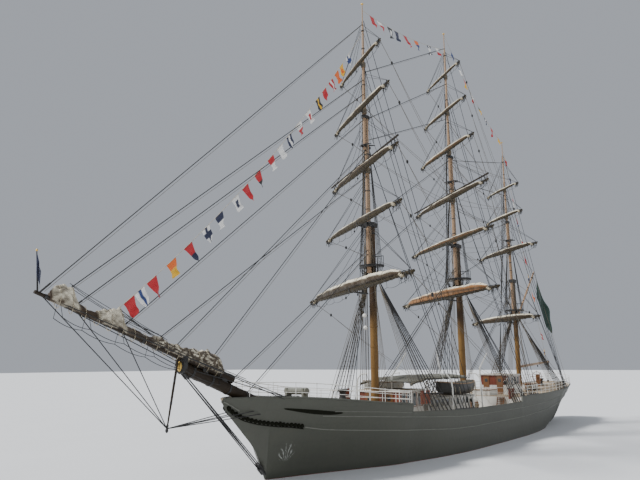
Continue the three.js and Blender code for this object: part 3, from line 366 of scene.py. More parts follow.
def make_hull_paint():
    """Grey topsides over a red bottom: strakes and butts, rust runs, a scrubbed waterline and a scuff."""
    p = Paint("Hull paint")
    x, _, z = p.axes()
    grey = colours().hull
    seams = z.near(0.56, 0.006).maths("MAXIMUM", x.near(1.9, 0.006))
    fine = p.noise(9.0, 5.0)
    runs = p.noise(2.2, 5.0, (3.0, 3.0, 0.22)).above(0.60, 0.16)
    fan = (x - 10.12).maths("ARCTAN2", z - 0.42) + p.noise(5.0, 2.0) * 0.35
    off_x, off_z = (x - 10.2) / 0.30, (z - 0.86) / 0.34
    patch = ((1 - (off_x * off_x + off_z * off_z)) * 2.2).clamped()
    splash = fan.near(0.23, 0.055) * p.noise(4.0, 3.0, (1.0, 1.0, 0.6)).above(0.46, 0.12)
    wet = 1 - z.above(0.16, 0.22)
    base = p.coats(p.mottled(p.noise(0.35, 3.0), grey, 0.84, 1.16),
                   (fine * 0.35, darker(grey, 0.7)), (runs * 0.10, (0.10, 0.085, 0.06)),
                   (seams * 0.35, darker(grey, 0.45)), (splash * patch * 0.8, (0.50, 0.51, 0.48)),
                   (wet * 0.55, (0.035, 0.04, 0.03)), (1 - z.above(0.015, 0.01), tuple(colours().bottom)))
    height = fine * 0.25 - seams * 0.8 + p.noise(1.6, 2.0) * 0.9
    return p.finish(base, 0.46 + fine * 0.2 - wet * 0.12, height, 0.006, IOR=1.45)


def make_paint(name, colour, seam=0.0, grime=0.35, rough=0.45, gloss=0.3):
    """Brushed paint: patches of wear, fine brush marks and grime that gathers in soft runs."""
    p = Paint(name)
    x, _, z = p.axes()
    patches = p.noise(2.4, 4.0)
    marks = p.noise(26.0, 3.0, (1.0, 1.0, 0.35))
    runs = p.noise(5.0, 4.0, (2.0, 2.0, 0.3)).above(0.58, 0.2)
    base = p.coats(p.mottled(patches, colour, 0.86, 1.1), (runs * grime, darker(colour, 0.45)))
    height = marks * 0.5 + patches * 0.5
    if seam:
        line = z.near(seam, 0.006).maths("MAXIMUM", x.near(seam, 0.006))
        base = p.mix(line * 0.4, base, darker(colour, 0.4))
        height = height - line
    return p.finish(base, rough + marks * 0.18, height, Specular_IOR_Level=gloss)


def make_spar(name, colour, coat, shade_and_tar_heights=None):
    """A spar: long grain along Z and X, darker checks, worn rings at the bands, and a dark band near the tops
    that is partly tarring and partly painted shade beneath the course yard and the top.
    """
    p = Paint(name)
    z = p.axes()[2]
    grain = p.noise(14.0, 5.0, (1.0, 1.0, 0.08))
    patches = p.noise(1.3, 3.0)
    checks = p.noise(30.0, 2.0, (1.0, 1.0, 0.04)).above(0.66, 0.08)
    base = p.coats(p.mottled(grain, colour, 0.72, 1.22), (patches * 0.5, darker(colour, 0.62)),
                   (checks * 0.5, darker(colour, 0.3)), (z.near(0.9, 0.012) * 0.35, darker(colour, 0.4)))
    if shade_and_tar_heights:
        # Dark band between the two heights: painted shade beneath the course yard and the top, mixed with
        # tarring.
        shade_and_tar = z.above(shade_and_tar_heights[0], 1.4) * (1 - z.above(shade_and_tar_heights[1], 0.3)) * (0.45 + patches)
        base = p.mix(shade_and_tar.clamped(), base, (0.045, 0.026, 0.013))
    return p.finish(base, 0.5 - coat * 0.16 + grain * 0.15, grain * 0.5 - checks,
                    Coat_Weight=coat * 0.15, Specular_IOR_Level=0.25)


def make_cloth(name, colour, under, warm):
    """Sailcloth: threads, soft creases and random stains, with painted shade that the piece's own attribute
    places: a dark to warm brown painted shade on the underside, where the warm brown stands in for bounce
    light, and painted shade in the folds.
    """
    p = Paint(name)
    creases = p.noise(5.0, 5.0, (1.0, 1.0, 2.2))
    # Noise for random stains, which also makes the painted shade stronger in patches.
    stain_and_shade_noise = p.noise(1.6, 4.0)
    # Channels of the piece's attribute: painted shade on the underside, how much painted warm bounce light
    # that shade holds, and painted shade in the folds.
    shade, tan, fold_shade = p.parts("ShaderNodeSeparateColor", p.tint())
    # Colour of the painted shade: dark to warm brown, darker still in the folds.
    under_shade_colour = p.coats(p.mix(tan, under, warm), (fold_shade * 0.8, darker(under, 0.6)))
    base = p.coats(p.mottled(creases, colour, 0.78, 1.08),
                   (stain_and_shade_noise.above(0.55, 0.2) * 0.22, darker(colour, 0.62)),
                   ((shade * (0.8 + stain_and_shade_noise * 0.4)).clamped(), under_shade_colour))
    x, y, z = (axis.near(0.012, 0.006) for axis in p.axes())
    height = creases * 0.9 + (x + z + y) * 0.06
    return p.finish(base, 0.82 + creases * 0.12, height, 0.012, Sheen_Weight=0.1, Specular_IOR_Level=0.15)


def make_stowed(name, colour, painted_shade_colour):
    """Cloth crumpled under netting: pale lumps, painted shade in the hollows where cells meet, and painted
    shade from the piece's own attribute on the underside and between the heaps.
    """
    p = Paint(name)
    creases = p.noise(11.0, 5.0)
    outer = p.axes()[0].above(15.6, 0.8)
    lumps = p.cells(6.5, (1.0, 1.3, 1.8)) + creases * 0.7
    # Painted shade where the cells meet, weaker towards the boom's outer end.
    hollow_shade = lumps.above(0.85, 0.14) * (1 - outer * 0.75)
    shaded = p.parts("ShaderNodeSeparateColor", p.tint())[0]
    base = p.coats(p.mottled(creases, colour, 0.72, 1.1), (hollow_shade * 0.92, painted_shade_colour), (shaded, painted_shade_colour))
    return p.finish(base, 0.85, creases - hollow_shade, 0.02, Sheen_Weight=0.1, Specular_IOR_Level=0.15)


def make_rope(name, colour, step):
    """Laid rope or wire: strands that wind round it, seen as short slanted bands."""
    p = Paint(name)
    x, y, z = p.axes()
    lay = (x + y + z * 1.3).near(step, step * 0.5)
    dirt = p.noise(3.0, 3.0)
    base = p.coats(p.mottled(lay, colour, 0.55, 1.3), (dirt * 0.5, darker(colour, 0.7)))
    return p.finish(base, 0.62 + dirt * 0.2, lay)


def make_deck():
    """Scrubbed deck planks along X, with pitch seams, butts and a grain of their own."""
    p = Paint("Teak deck")
    x, y, _ = p.axes()
    seams = y.near(0.07, 0.004)
    grain = p.noise(7.0, 5.0, (0.12, 3.0, 1.0))
    planks = p.noise(1.0, 1.0, (0.2, 14.0, 0.1))
    base = p.coats(p.mix(grain, (0.26, 0.19, 0.12), (0.46, 0.36, 0.24)), (planks * 0.5, (0.36, 0.30, 0.22)),
                   (seams.maths("MAXIMUM", x.near(3.1, 0.006)) * 0.85, (0.02, 0.018, 0.015)))
    return p.finish(base, 0.62 + grain * 0.2, grain * 0.4 - seams, 0.003)


def make_bunting():
    """Signal flags: the colour that each face was given, faded in patches, over a fine weave."""
    p = Paint("Signal bunting")
    x, _, z = p.axes()
    fade = p.noise(6.0, 3.0)
    base = p.mix(fade * 0.06, p.tint(), (0.5, 0.48, 0.44))
    threads = x.near(0.008, 0.004) + z.near(0.008, 0.004)
    return p.finish(base, 0.74 + fade * 0.12, threads * 0.1 + fade, Sheen_Weight=0.2)


def make_glass():
    """Dark window glass with faint waves."""
    p = Paint("Window glass")
    waves = p.noise(4.0, 2.0)
    base = p.mix(waves, (0.02, 0.028, 0.034), (0.05, 0.065, 0.075))
    return p.finish(base, 0.07 + p.noise(22.0, 4.0) * 0.12, waves, 0.001, IOR=1.5)


def make_metal(name, colour, rough):
    """Cast metal: brighter where it is rubbed, dull and spotted elsewhere."""
    p = Paint(name)
    rub = p.noise(3.5, 4.0)
    height = rub * 0.6 + p.cells(24.0) * 0.2
    return p.finish(p.mottled(rub, colour, 0.55, 1.2), rough + rub * 0.2, height, Metallic=0.85)


def make_floor():
    """Pale plain floor with the faintest mottling."""
    p = Paint("Studio floor")
    return p.finish(p.mix(p.noise(0.3, 2.0), (0.70, 0.71, 0.72), (0.74, 0.75, 0.76)), 0.75)


PAINTS = {}


def make_materials():
    """One material for each finish, by the name that the pieces ask for."""
    c = colours()
    PAINTS.update({
        "hull": make_hull_paint(),
        "moulding": make_paint("Moulding paint", (0.17, 0.172, 0.145)),
        "white": make_paint("White paint", (0.70, 0.69, 0.64), grime=0.3),
        "panel": make_paint("Red panel paint", (0.20, 0.055, 0.032), 0.32),
        "lens": make_paint("Shadow paint", (0.011, 0.0115, 0.0075), rough=0.8, gloss=0.05),
        # Lower masts darken between these heights: painted shade beneath the course yard and the top, with
        # tarring.
        "mast": make_spar("Lower mast paint", c.mast, 0.5, shade_and_tar_heights=(5.6, 10.6)),
        "pole": make_spar("Upper mast varnish", c.wood, 0.8),
        "bowsprit": make_spar("Bowsprit varnish", (0.022, 0.014, 0.007), 0.0),
        "yard": make_paint("Yard paint", c.yard, grime=0.5, gloss=0.15),
        # Sail: the second colour is the painted shade on the underside, the third its painted warm bounce
        # light; the stowed jibs' colour is their painted shade.
        "sail": make_cloth("Sailcloth", c.sail, (0.026, 0.021, 0.012), (0.30, 0.135, 0.045)),
        "stowed": make_stowed("Stowed jibs", c.sail, (0.055, 0.038, 0.026)),
        # Canvas: the second and third colours are painted shade, which the awning's attribute places.
        "canvas": make_cloth("Awning canvas", (0.135, 0.132, 0.105), (0.1, 0.1, 0.09), (0.12, 0.12, 0.1)),
        "cover": make_cloth("Boat cover", (0.042, 0.04, 0.03), (0.035, 0.033, 0.025), (0.035, 0.033, 0.025)),
        "wire": make_rope("Tarred wire", c.wire, 0.05),
        "rope": make_rope("Running rope", (0.12, 0.095, 0.06), 0.04),
        "pale": make_rope("Pale rope", (0.42, 0.36, 0.25), 0.05),
        "boat": make_paint("Boat paint", (0.022, 0.020, 0.017), grime=0.2, rough=0.3),
        "iron": make_paint("Black iron", (0.028, 0.027, 0.026), grime=0.2, rough=0.4),
        "wood": make_spar("Varnished wood", (0.24, 0.11, 0.045), 1.0),
        "rail_wood": make_spar("Oiled rail", (0.26, 0.17, 0.10), 0.3),
        "deck": make_deck(),
        "bunting": make_bunting(),
        "glass": make_glass(),
        "bronze": make_metal("Bronze", (0.50, 0.33, 0.12), 0.32),
        "gilding": make_metal("Gilding", (0.78, 0.52, 0.14), 0.3),
    })


# Surfaces


BOX = np.array([[[x, y, z] for y, z in ((0, 0), (1, 0), (1, 1), (0, 1))] for x in (0, 1)])


class Surface:
    """Gathers surfaces given as whole arrays of points, in metres of the real ship, into one mesh.

    Tubes, rods and eggs of a surface with side -1 are mirrored to starboard."""

    def __init__(self, side=1):
        self.flip = np.array([1.0, side, 1.0])
        self.points, self.faces, self.kinds, self.tints_and_shades = [], [], [], []
        self.count = 0

    def grids(self, points, kind=0, tint=(0.0, 0.0, 0.0), sheet=False, torus=False):
        """Batches of grids (batch, along, across, 3): neighbours make a quad, and each end ring a cap.

        A sheet has free edges all round and a torus none. Kind is the material's place in the list."""
        batch, along, across = points.shape[:3]
        index = np.arange(along * across).reshape(along, across)
        wide = index if sheet else np.hstack([index, index[:, :1]])
        wide = np.vstack([wide, wide[:1]]) if torus else wide
        quads = np.stack([wide[:-1, :-1], wide[:-1, 1:], wide[1:, 1:], wide[1:, :-1]], axis=-1).reshape(-1, 4)
        ends = np.stack([index[0][::-1], index[-1]])
        if not sheet and signed_volume(points[0].reshape(-1, 3), quads) < 0:
            quads, ends = quads[:, ::-1], ends[:, ::-1]
        shift = (np.arange(batch) * along * across)[:, None, None] + self.count
        rows = [(quads, np.broadcast_to(kind, len(quads)))]
        if not sheet and not torus:
            rows.append((ends, np.full(2, np.max(kind))))
        for faces, kinds in rows:
            self.faces.append((faces + shift).reshape(-1, faces.shape[1]))
            self.kinds.append(np.tile(kinds, batch).astype(np.int32))
        self.points.append(points.reshape(-1, 3))
        self.tints_and_shades.append(np.broadcast_to(tint, points.shape).reshape(-1, 3))
        self.count += batch * along * across

    def tubes(self, paths, radius, sides=5, kind=0):
        """A circle carried along each path: point + radius (cos a normal + sin a binormal)."""
        paths = np.asarray(paths, float) * self.flip
        paths = paths.reshape(-1, *paths.shape[-2:])
        batch, along = paths.shape[:2]
        size = np.asarray(radius, float)
        if size.ndim == 1 and len(size) == batch and batch != along:
            size = size[:, None]
        size = np.broadcast_to(size, (batch, along))[..., None, None]
        tangent = unit(np.gradient(paths, axis=1))
        steep = np.abs(unit(paths[:, -1] - paths[:, 0] + 1e-9)[:, 2]) > 0.9
        normal = unit(np.cross(tangent, np.where(steep[:, None], [1.0, 0, 0], [0, 0, 1.0])[:, None]))
        binormal = np.cross(tangent, normal)
        angle = circle(sides, 0.5)[:, None]
        ring = np.cos(angle) * normal[:, :, None] + np.sin(angle) * binormal[:, :, None]
        self.grids(paths[:, :, None] + size * ring, kind)

    def rods(self, starts, ends, radius, sides=4, kind=0):
        """Straight tubes between pairs of points."""
        pairs = np.stack(np.broadcast_arrays(starts, ends), axis=-2)
        self.tubes(pairs.reshape(-1, 2, 3), radius, sides, kind)

    def rings(self, centres, axes, radius, thick, kind, around=12):
        """Tori: a small circle of four sides carried round a large one about each axis."""
        axes = unit(np.atleast_2d(axes).astype(float))
        first = unit(np.cross(axes, np.where(np.abs(axes[:, 2:]) > 0.9, [[1.0, 0, 0]], [[0, 0, 1.0]])))
        second = np.cross(axes, first)
        turn, small = circle(around)[:, None], circle(4)[:, None]
        out = np.cos(turn) * first[:, None] + np.sin(turn) * second[:, None]
        body = out[:, :, None] * (radius + thick * np.cos(small))
        body = body + axes[:, None, None] * thick * np.sin(small)
        self.grids((np.reshape(centres, (-1, 1, 1, 3)) + body).swapaxes(1, 2), kind, torus=True)

    def eggs(self, centres, size, kind=0, around=8, along=6):
        """Ellipsoids: rings whose radius is the sine of the angle from the pole."""
        polar, turn = np.linspace(0.12, math.pi - 0.12, along)[:, None], circle(around)
        ball = xyz(np.sin(polar) * np.cos(turn), np.sin(polar) * np.sin(turn), np.cos(polar))
        self.grids(np.reshape(centres, (-1, 1, 1, 3)) * self.flip + ball * size, kind)

    def boxes(self, lows, highs, kind=0):
        """Boxes from pairs of opposite corners."""
        low, high = (np.reshape(corner, (-1, 1, 1, 3)) for corner in (lows, highs))
        self.grids(np.where(BOX, high, low), kind)

    def build(self, name, paints, slot, body="ship", angle=40.0, bevel=0.0, shell=0.0):
        """Makes the object, in metres of the model, on its body and in place of the node of its name."""
        mesh = bpy.data.meshes.new(name)
        points = np.concatenate(self.points) * MODEL
        widths = np.concatenate([np.full(len(faces), faces.shape[1]) for faces in self.faces])
        loops = np.concatenate([faces.ravel() for faces in self.faces])
        for items, count, key, values in (
                (mesh.vertices, len(points), "co", points.astype(np.float32)),
                (mesh.loops, len(loops), "vertex_index", loops.astype(np.int32)),
                (mesh.polygons, len(widths), "loop_start", (np.cumsum(widths) - widths).astype(np.int32))):
            items.add(count)
            items.foreach_set(key, values.ravel())
        mesh.polygons.foreach_set("material_index", np.concatenate(self.kinds))
        mesh.update(calc_edges=True)
        mesh.validate()
        mesh.shade_smooth()
        mesh.set_sharp_from_angle(angle=math.radians(angle))
        # Per-point colours, and on cloth the masks of painted shade.
        tint = np.concatenate([np.concatenate(self.tints_and_shades), np.ones((len(points), 1))], axis=1)
        mesh.attributes.new("Tint", "FLOAT_COLOR", "POINT").data.foreach_set("color", tint.ravel())
        for paint in paints.split():
            mesh.materials.append(PAINTS[paint])
        piece = bpy.data.objects.new(name, mesh)
        bpy.context.scene.collection.objects.link(piece)
        if bevel:
            edge = piece.modifiers.new("Bevel", "BEVEL")
            edge.width = bevel * MODEL
            edge.segments = 2
            edge.limit_method = "ANGLE"
        if shell:
            wall = piece.modifiers.new("Solidify", "SOLIDIFY")
            wall.thickness = shell
            wall.offset = 0.0
        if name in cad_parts:
            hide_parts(name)
        if body:
            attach(piece, body)
        return piece


def xyz(x, y, z):
    """Points from three coordinates, each a number or an array."""
    return np.stack(np.broadcast_arrays(x, y, z), axis=-1).astype(float)


def both(points):
    """The same points to port and to starboard."""
    return np.stack([np.asarray(points, float), points * np.array([1, -1, 1])])


def circle(count, start=0.0):
    """Even angles round a circle."""
    return (np.arange(count) + start) / count * 2 * math.pi


def signed_volume(points, quads):
    """Volume of a closed grid of quads without its caps, enough to say which way its faces point."""
    middle = points.mean(0)
    a, b, c, d = (points[quads[:, i]] - middle for i in range(4))
    return float((a * np.cross(b, c)).sum() + (a * np.cross(c, d)).sum())


def unit(vectors):
    return vectors / np.maximum(np.linalg.norm(vectors, axis=-1, keepdims=True), 1e-9)


def hanging(starts, ends, sag, steps):
    """Lines between pairs of points that sag by 4 t (1 - t) of the sag."""
    starts, ends = (one.reshape(-1, 1, 3) for one in np.broadcast_arrays(starts, ends))
    t = np.linspace(0, 1, steps)[:, None]
    paths = starts + (ends - starts) * t
    paths[..., 2] -= 4 * t[:, 0] * (1 - t[:, 0]) * np.reshape(sag, (-1, 1))
    return paths


def smooth_rows(places, rows, at):
    """Monotone cubic through rows: each slope is the harmonic mean of its neighbours, 0 at an extreme."""
    step = np.diff(places)[:, None]
    rise = np.diff(rows, axis=0) / step
    first, second = 2 * step[1:] + step[:-1], step[1:] + 2 * step[:-1]
    same = rise[1:] * rise[:-1] > 0
    safe = np.where(same, rise[:-1], 1.0), np.where(same, rise[1:], 1.0)
    middle = np.where(same, (first + second) / (first / safe[0] + second / safe[1]), 0.0)
    slopes = np.concatenate([rise[:1], middle, rise[-1:]])
    i = np.clip(np.searchsorted(places, at, side="right") - 1, 0, len(places) - 2)
    width = (places[i + 1] - places[i])[:, None]
    t = (at - places[i])[:, None] / width
    near = (1 + 2 * t) * (1 - t) ** 2 * rows[i] + t * (1 - t) ** 2 * width * slopes[i]
    far = t**2 * (3 - 2 * t) * rows[i + 1] + t**2 * (t - 1) * width * slopes[i + 1]
    return near + far


def column(index, at):
    """A column of the stations at one place or several."""
    return np.interp(at, STATIONS[:, 0], STATIONS[:, index])


# Hull

UNDER_STEPS = 20
OVER_STEPS = 14


def half_section(row):
    """Half of a section, keel to rail: below the water powers of cosine and sine, above it the flare."""
    _, bottom, water, rail_half, rail, _, fullness, flare = row
    i = np.arange(UNDER_STEPS + OVER_STEPS + 1)
    if bottom < 0:
        turn = np.minimum(i / UNDER_STEPS, 1) * math.pi / 2
        over = np.clip((i - UNDER_STEPS) / OVER_STEPS, 0, 1)
        low = bottom * np.abs(np.cos(turn)) ** (2 / max(fullness, 1.2))
        y = np.maximum(water * np.sin(turn) ** (2 / fullness), 0.03)
        y = np.where(over > 0, water + (rail_half - water) * over**flare, y)
        z = np.where(over > 0, rail * over, low)
    else:
        share = i / i[-1]
        y = np.maximum(rail_half * share**fullness, 0.02)
        z = bottom + (rail - bottom) * share
    y[0] = 0.0
    return np.stack([y, z], axis=1)


SECTIONS = np.array([half_section(row) for row in STATIONS])


def skin(at):
    """Half sections (place, step, y and z) of the smooth hull."""
    flat = SECTIONS.reshape(len(STATIONS), -1)
    return smooth_rows(STATIONS[:, 0], flat, at).reshape(len(at), -1, 2)


def rail_half(at):
    """Half breadth of the smooth hull at the rail."""
    return skin(at)[:, -1, 0]


def breadths(sections, heights):
    """Half breadth of each section at its own height."""
    return np.array([np.interp(z, section[:, 1], section[:, 0]) for section, z in zip(sections, heights)])


def on_side(at, heights, out):
    """Points on the port side of the hull at places along it and at heights, moved outwards."""
    return xyz(at, breadths(skin(at), heights) + out, heights)


def make_hull():
    """Closed hull: skin, rail, inside of the bulwark and deck, all carried from section to section."""
    spans = zip(STATIONS[:-1, 0], STATIONS[1:, 0])
    at = np.unique(np.concatenate([np.linspace(a, b, max(2, int((b - a) / 0.3))) for a, b in spans]))
    outer = skin(at)
    half, rail = outer[:, -1].T
    inner = np.maximum(half - BULWARK, half * 0.5)
    deck = np.minimum(column(DECK_COLUMN, at), rail - 0.02)
    foot = np.minimum(inner, np.maximum(breadths(outer, deck) - BULWARK, inner * 0.5))
    extra = np.stack([np.stack(pair, 1) for pair in (
        (inner, rail), (foot, deck), (foot * 0.5, deck + 0.03), (foot * 0, deck + 0.05))], axis=1)
    port = np.concatenate([outer, extra], axis=1)
    y, z = np.moveaxis(np.concatenate([port, port[:, 1:-1][:, ::-1] * [-1, 1]], axis=1), 2, 0)
    kinds = np.zeros((len(at) - 1, y.shape[1]), int)
    rim = outer.shape[1] - 1
    kinds[:, rim:rim + 8] = [1, 2, 3, 3, 3, 3, 2, 1]
    steps = np.isin(np.round(at[:-1], 3), BREAKS)
    kinds[steps] = np.where(kinds[steps] == 3, 2, kinds[steps])
    surface = Surface()
    surface.grids(xyz(at[:, None], y, z)[None], kinds.ravel())
    surface.boxes([STERNPOST - 1.9, -0.14, KEEL_Z], [11.5, 0.14, KEEL_Z + 0.3])
    surface.build("hull", "hull moulding white deck", "hull_paint", angle=50)


# Mouldings: heights at places along the side.
MAIN_MOULDING = np.array([
    [19.84, 3.28], [19.17, 3.16], [18.17, 3.01], [16.53, 2.87], [14.35, 2.71], [11.91, 2.55], [8.42, 2.32],
    [3.81, 2.06], [0.0, 1.98], [-12.0, 1.98], [-21.0, 2.22], [-30.0, 2.75], [-36.8, 3.5]])
SHEER_MOULDING = np.array([
    [19.0, 3.96], [17.18, 3.84], [14.83, 3.71], [11.64, 3.5], [7.95, 3.27], [3.85, 3.03], [0.0, 2.9],
    [-12.0, 2.88], [-21.0, 3.02], [-30.0, 3.3], [-37.0, 4.0]])
FORE_MOULDING = np.array([[18.4, 4.22], [16.6, 4.13], [14.04, 3.99], [11.78, 3.84], [10.55, 3.78]])
TRAILBOARD = np.array([
    [25.24, 4.91], [24.73, 4.5], [24.34, 4.27], [23.89, 4.05], [23.49, 3.92], [22.99, 3.78], [22.44, 3.68],
    [21.65, 3.57], [20.77, 3.48], [19.86, 3.33]])
# Heights along the side of the middle of the painted shadow of the recess below the forecastle.
SLOT_SHADOW = np.array([
    [21.73, 4.55], [21.14, 4.47], [20.6, 4.39], [19.88, 4.29], [19.12, 4.2], [18.34, 4.12], [17.3, 4.07]])


def side_line(heights, start, end, steps, out):
    """A line along the port side through a table of heights."""
    at = np.linspace(start, end, steps)
    return on_side(at, np.interp(at, heights[::-1, 0], heights[::-1, 1]), out)


def make_mouldings():
    """Half-round mouldings and the rail's cap, carried along the side."""
    surface = Surface()
    for heights, start, end, radius in ((MAIN_MOULDING, 19.8, -36.5, 0.038),
                                        (SHEER_MOULDING, 18.8, -36.8, 0.03),
                                        (FORE_MOULDING, 18.0, 10.6, 0.022)):
        surface.tubes(both(side_line(heights, start, end, 160, 0.01)), radius, 6)
    for start, end in ((25.3, 10.6), (10.3, -11.8), (-12.1, -37.9)):
        at = np.linspace(start, end, 90)
        line = xyz(at, rail_half(at) - BULWARK * 0.4, column(RAIL_COLUMN, at) - 0.03)
        surface.tubes(both(line), 0.075, 6, 1)
    surface.build("hull_mouldings", "moulding hull", "hull_paint")


def make_trailboards():
    """A carved band along the head of each side: leaves that swell and shrink along a curved line."""
    line = both(side_line(TRAILBOARD, 25.1, 19.9, 240, 0.02))
    leaf = np.abs(np.sin(np.linspace(0, 20 * math.pi, 240)))
    surface = Surface()
    surface.tubes(line, 0.06 + 0.1 * leaf * np.linspace(0.75, 1.15, 240), 7)
    for edge in (0.17, -0.17):
        surface.tubes(line + [0, 0, edge], 0.03, 5)
    surface.eggs(line[:, 6::12], (0.07, 0.04, 0.09), 1)
    head = on_side(np.linspace(25.35, 24.3, 30), np.linspace(5.1, 4.5, 30), 0.02)
    surface.tubes(both(head), 0.04, 7, 1)
    surface.build("trailboards", "lens moulding", "hull_paint")


def make_bow_slot_shadows():
    """Painted shadow of the recess below each side of the forecastle: a long, near-black flat ellipse laid on
    the skin.
    """
    share = np.linspace(-1, 1, 49)
    at = 19.5 + 2.2 * share
    middle = np.interp(at, SLOT_SHADOW[::-1, 0], SLOT_SHADOW[::-1, 1])
    tall = 0.135 * np.sqrt(np.maximum(1 - np.abs(share) ** 2.4, 0)) * (1 - 0.35 * share.clip(0, 1)) + 0.004
    grid = np.stack([on_side(at, middle + level * tall, 0.022) for level in np.linspace(-1, 1, 5)], axis=1)
    ring = np.concatenate([grid, grid[:, ::-1] - [0, 0.03, 0]], axis=1)
    surface = Surface()
    for side in (1, -1):
        surface.grids(ring[None] * [1, side, 1])
    surface.build("bow_slots", "lens", "hull_paint")


def rail_run(surface, line, height, bars, post_step):
    """Stanchions at even steps along a line and bars between them."""
    thick = 0.022
    length = np.concatenate([[0], np.cumsum(np.linalg.norm(np.diff(line, axis=0), axis=1))])
    marks = np.linspace(0, length[-1], max(2, int(length[-1] / post_step) + 1))
    feet = xyz(*(np.interp(marks, length, axis) for axis in line.T))
    surface.rods(feet, feet + [0, 0, height], thick, 6)
    surface.eggs(feet + [0, 0, height], 0.045)
    for bar in range(1, bars + 1):
        surface.tubes(line + [0, 0, height * bar / bars - 0.01], thick * (1.25 if bar == bars else 0.8), 6)


def make_rails():
    """Three-bar rails round the forecastle and the quarterdeck, and across the two breaks."""
    surface = Surface()
    for start, end, height in ((23.9, 10.7, 0.92), (-12.2, -37.9, 1.0)):
        at = np.linspace(start, end, 60)
        line = xyz(at, np.maximum(rail_half(at) - BULWARK * 0.5, 0.05), column(RAIL_COLUMN, at))
        for one in both(line):
            rail_run(surface, one, height, 3, 1.5)
    for x, half, z, height, bars, step in ((-37.9, 0.7, 4.84, 1.0, 3, 0.7), (10.62, 4.8, 4.28, 0.95, 2, 1.2),
                                           (-12.1, 5.0, QUARTERDECK, 0.95, 2, 1.2)):
        rail_run(surface, xyz(x, [-half, half], z), height, bars, step)
    surface.build("deck_rails", "white", "white_paint")


# Masts


def make_mast(mast):
    """Lower mast, topmast and pole as tapered circles of revolution, with bands, top, caps and trees."""
    r = mast.radius
    top_x, pole_x = mast.x + TOPMAST_STEP, mast.x + POLE_STEP
    neck = mast.truck - 2.2
    surface = Surface()

    def upright(x, levels, kind):
        z, size = np.array(levels).T
        surface.tubes(xyz(x, 0, z), size, sizes().sides, kind)

    def bands(x, heights, half, size, kind=2):
        for z in heights:
            upright(x, [[z - half, size], [z + half, size]], kind)

    upright(mast.x, [[mast.foot, r * 1.18], [mast.foot + 0.25, r * 1.18], [mast.foot + 0.3, r]], 3)
    upright(mast.x, [[mast.foot + 0.2, r], [mast.top - 3, r * 0.95], [mast.top, r * 0.92],
                     [mast.cap - 0.3, r * 0.84], [mast.cap + 0.12, r * 0.82]], 0)
    upright(top_x, [[mast.top - 0.5, r * 0.62], [mast.cap, r * 0.62], [mast.trees, r * 0.55],
                    [mast.upper_cap + 0.1, r * 0.5]], 1)
    upright(pole_x, [[mast.trees - 0.4, r * 0.42], [mast.upper_cap + 0.5, r * 0.42], [neck, r * 0.28],
                     [neck + 0.2, r * 0.16], [mast.truck - 0.12, r * 0.13]], 1)
    upright(pole_x, [[mast.truck - 0.12, 0.06], [mast.truck - 0.1, 0.12], [mast.truck - 0.02, 0.12],
                     [mast.truck, 0.05]], 4)
    bands(mast.x, np.arange(mast.foot + 1.2, mast.top - 0.6, 1.7), 0.05, r * 1.035, 0)
    bands(mast.x, (mast.top + 1.0, mast.cap - 0.9), 0.06, r * 0.93)
    bands(top_x, np.linspace(mast.cap + 1.2, mast.trees - 0.8, 4), 0.04, r * 0.64)
    bands(pole_x, np.linspace(mast.upper_cap + 1.2, neck - 0.6, 5), 0.03, r * 0.46)
    make_top(surface, mast, top_x, pole_x)
    make_trees(surface, mast, top_x, pole_x)
    surface.build(f"{mast.name}mast", "mast pole iron white gilding", "lower_mast")


def make_top(surface, mast, top_x, pole_x):
    """The top: a slab with a round front edge, a rail behind, its knees, and the two caps above."""
    half, r, z = mast.top_width / 2, mast.radius, mast.top
    turn = np.linspace(-math.pi / 2, math.pi / 2, 15)
    x = np.concatenate([[-0.55], 0.35 + half * np.cos(turn), [-0.55]]) * 0.72 + mast.x + 0.1
    y = half * np.concatenate([[-1], np.sin(turn), [1]])
    surface.grids(xyz(x, y, [[z], [z + 0.14]])[None], 2)
    surface.tubes(xyz(x, y, z + 0.16), 0.035, 6, 2)
    posts = xyz(mast.x - 0.28, half * 0.95 * np.linspace(-1, 1, 4), z + 0.14)
    tops = posts + [0, 0, 0.85]
    surface.rods(posts, tops, 0.025, 5, 2)
    surface.rods(tops[0], tops[-1], 0.035, 5, 2)
    knees = xyz([mast.x - 0.25, mast.x + 0.3], r * 0.8, z - 0.9)
    surface.rods(both(knees), both(knees + [0, 0.12, 0.92]), 0.07, 6, 2)
    surface.boxes([mast.x - r - 0.08, -r, mast.cap - 0.35], [top_x + r * 0.62 + 0.08, r, mast.cap + 0.05], 2)
    surface.boxes([top_x - r * 0.6 - 0.06, -r * 0.62, mast.upper_cap - 0.25],
                  [pole_x + r * 0.42 + 0.06, r * 0.62, mast.upper_cap + 0.05], 2)


def make_trees(surface, mast, top_x, pole_x):
    """Crosstrees: two fore-and-aft pieces and two curved spreaders."""
    half, z = mast.top_width * CROSSTREE, mast.trees
    surface.boxes(xyz(mast.x + 0.1, [0.08, -0.16], z - 0.2), xyz(pole_x + 0.45, [0.16, -0.08], z), 2)
    share = np.linspace(-1, 1, 9)
    for x, sweep in ((top_x - 0.06, 0.35), (pole_x + 0.16, 0.25)):
        surface.tubes(xyz(x - sweep * share**2, share * half, z + 0.05), 0.07 - 0.03 * share**2, 6, 2)


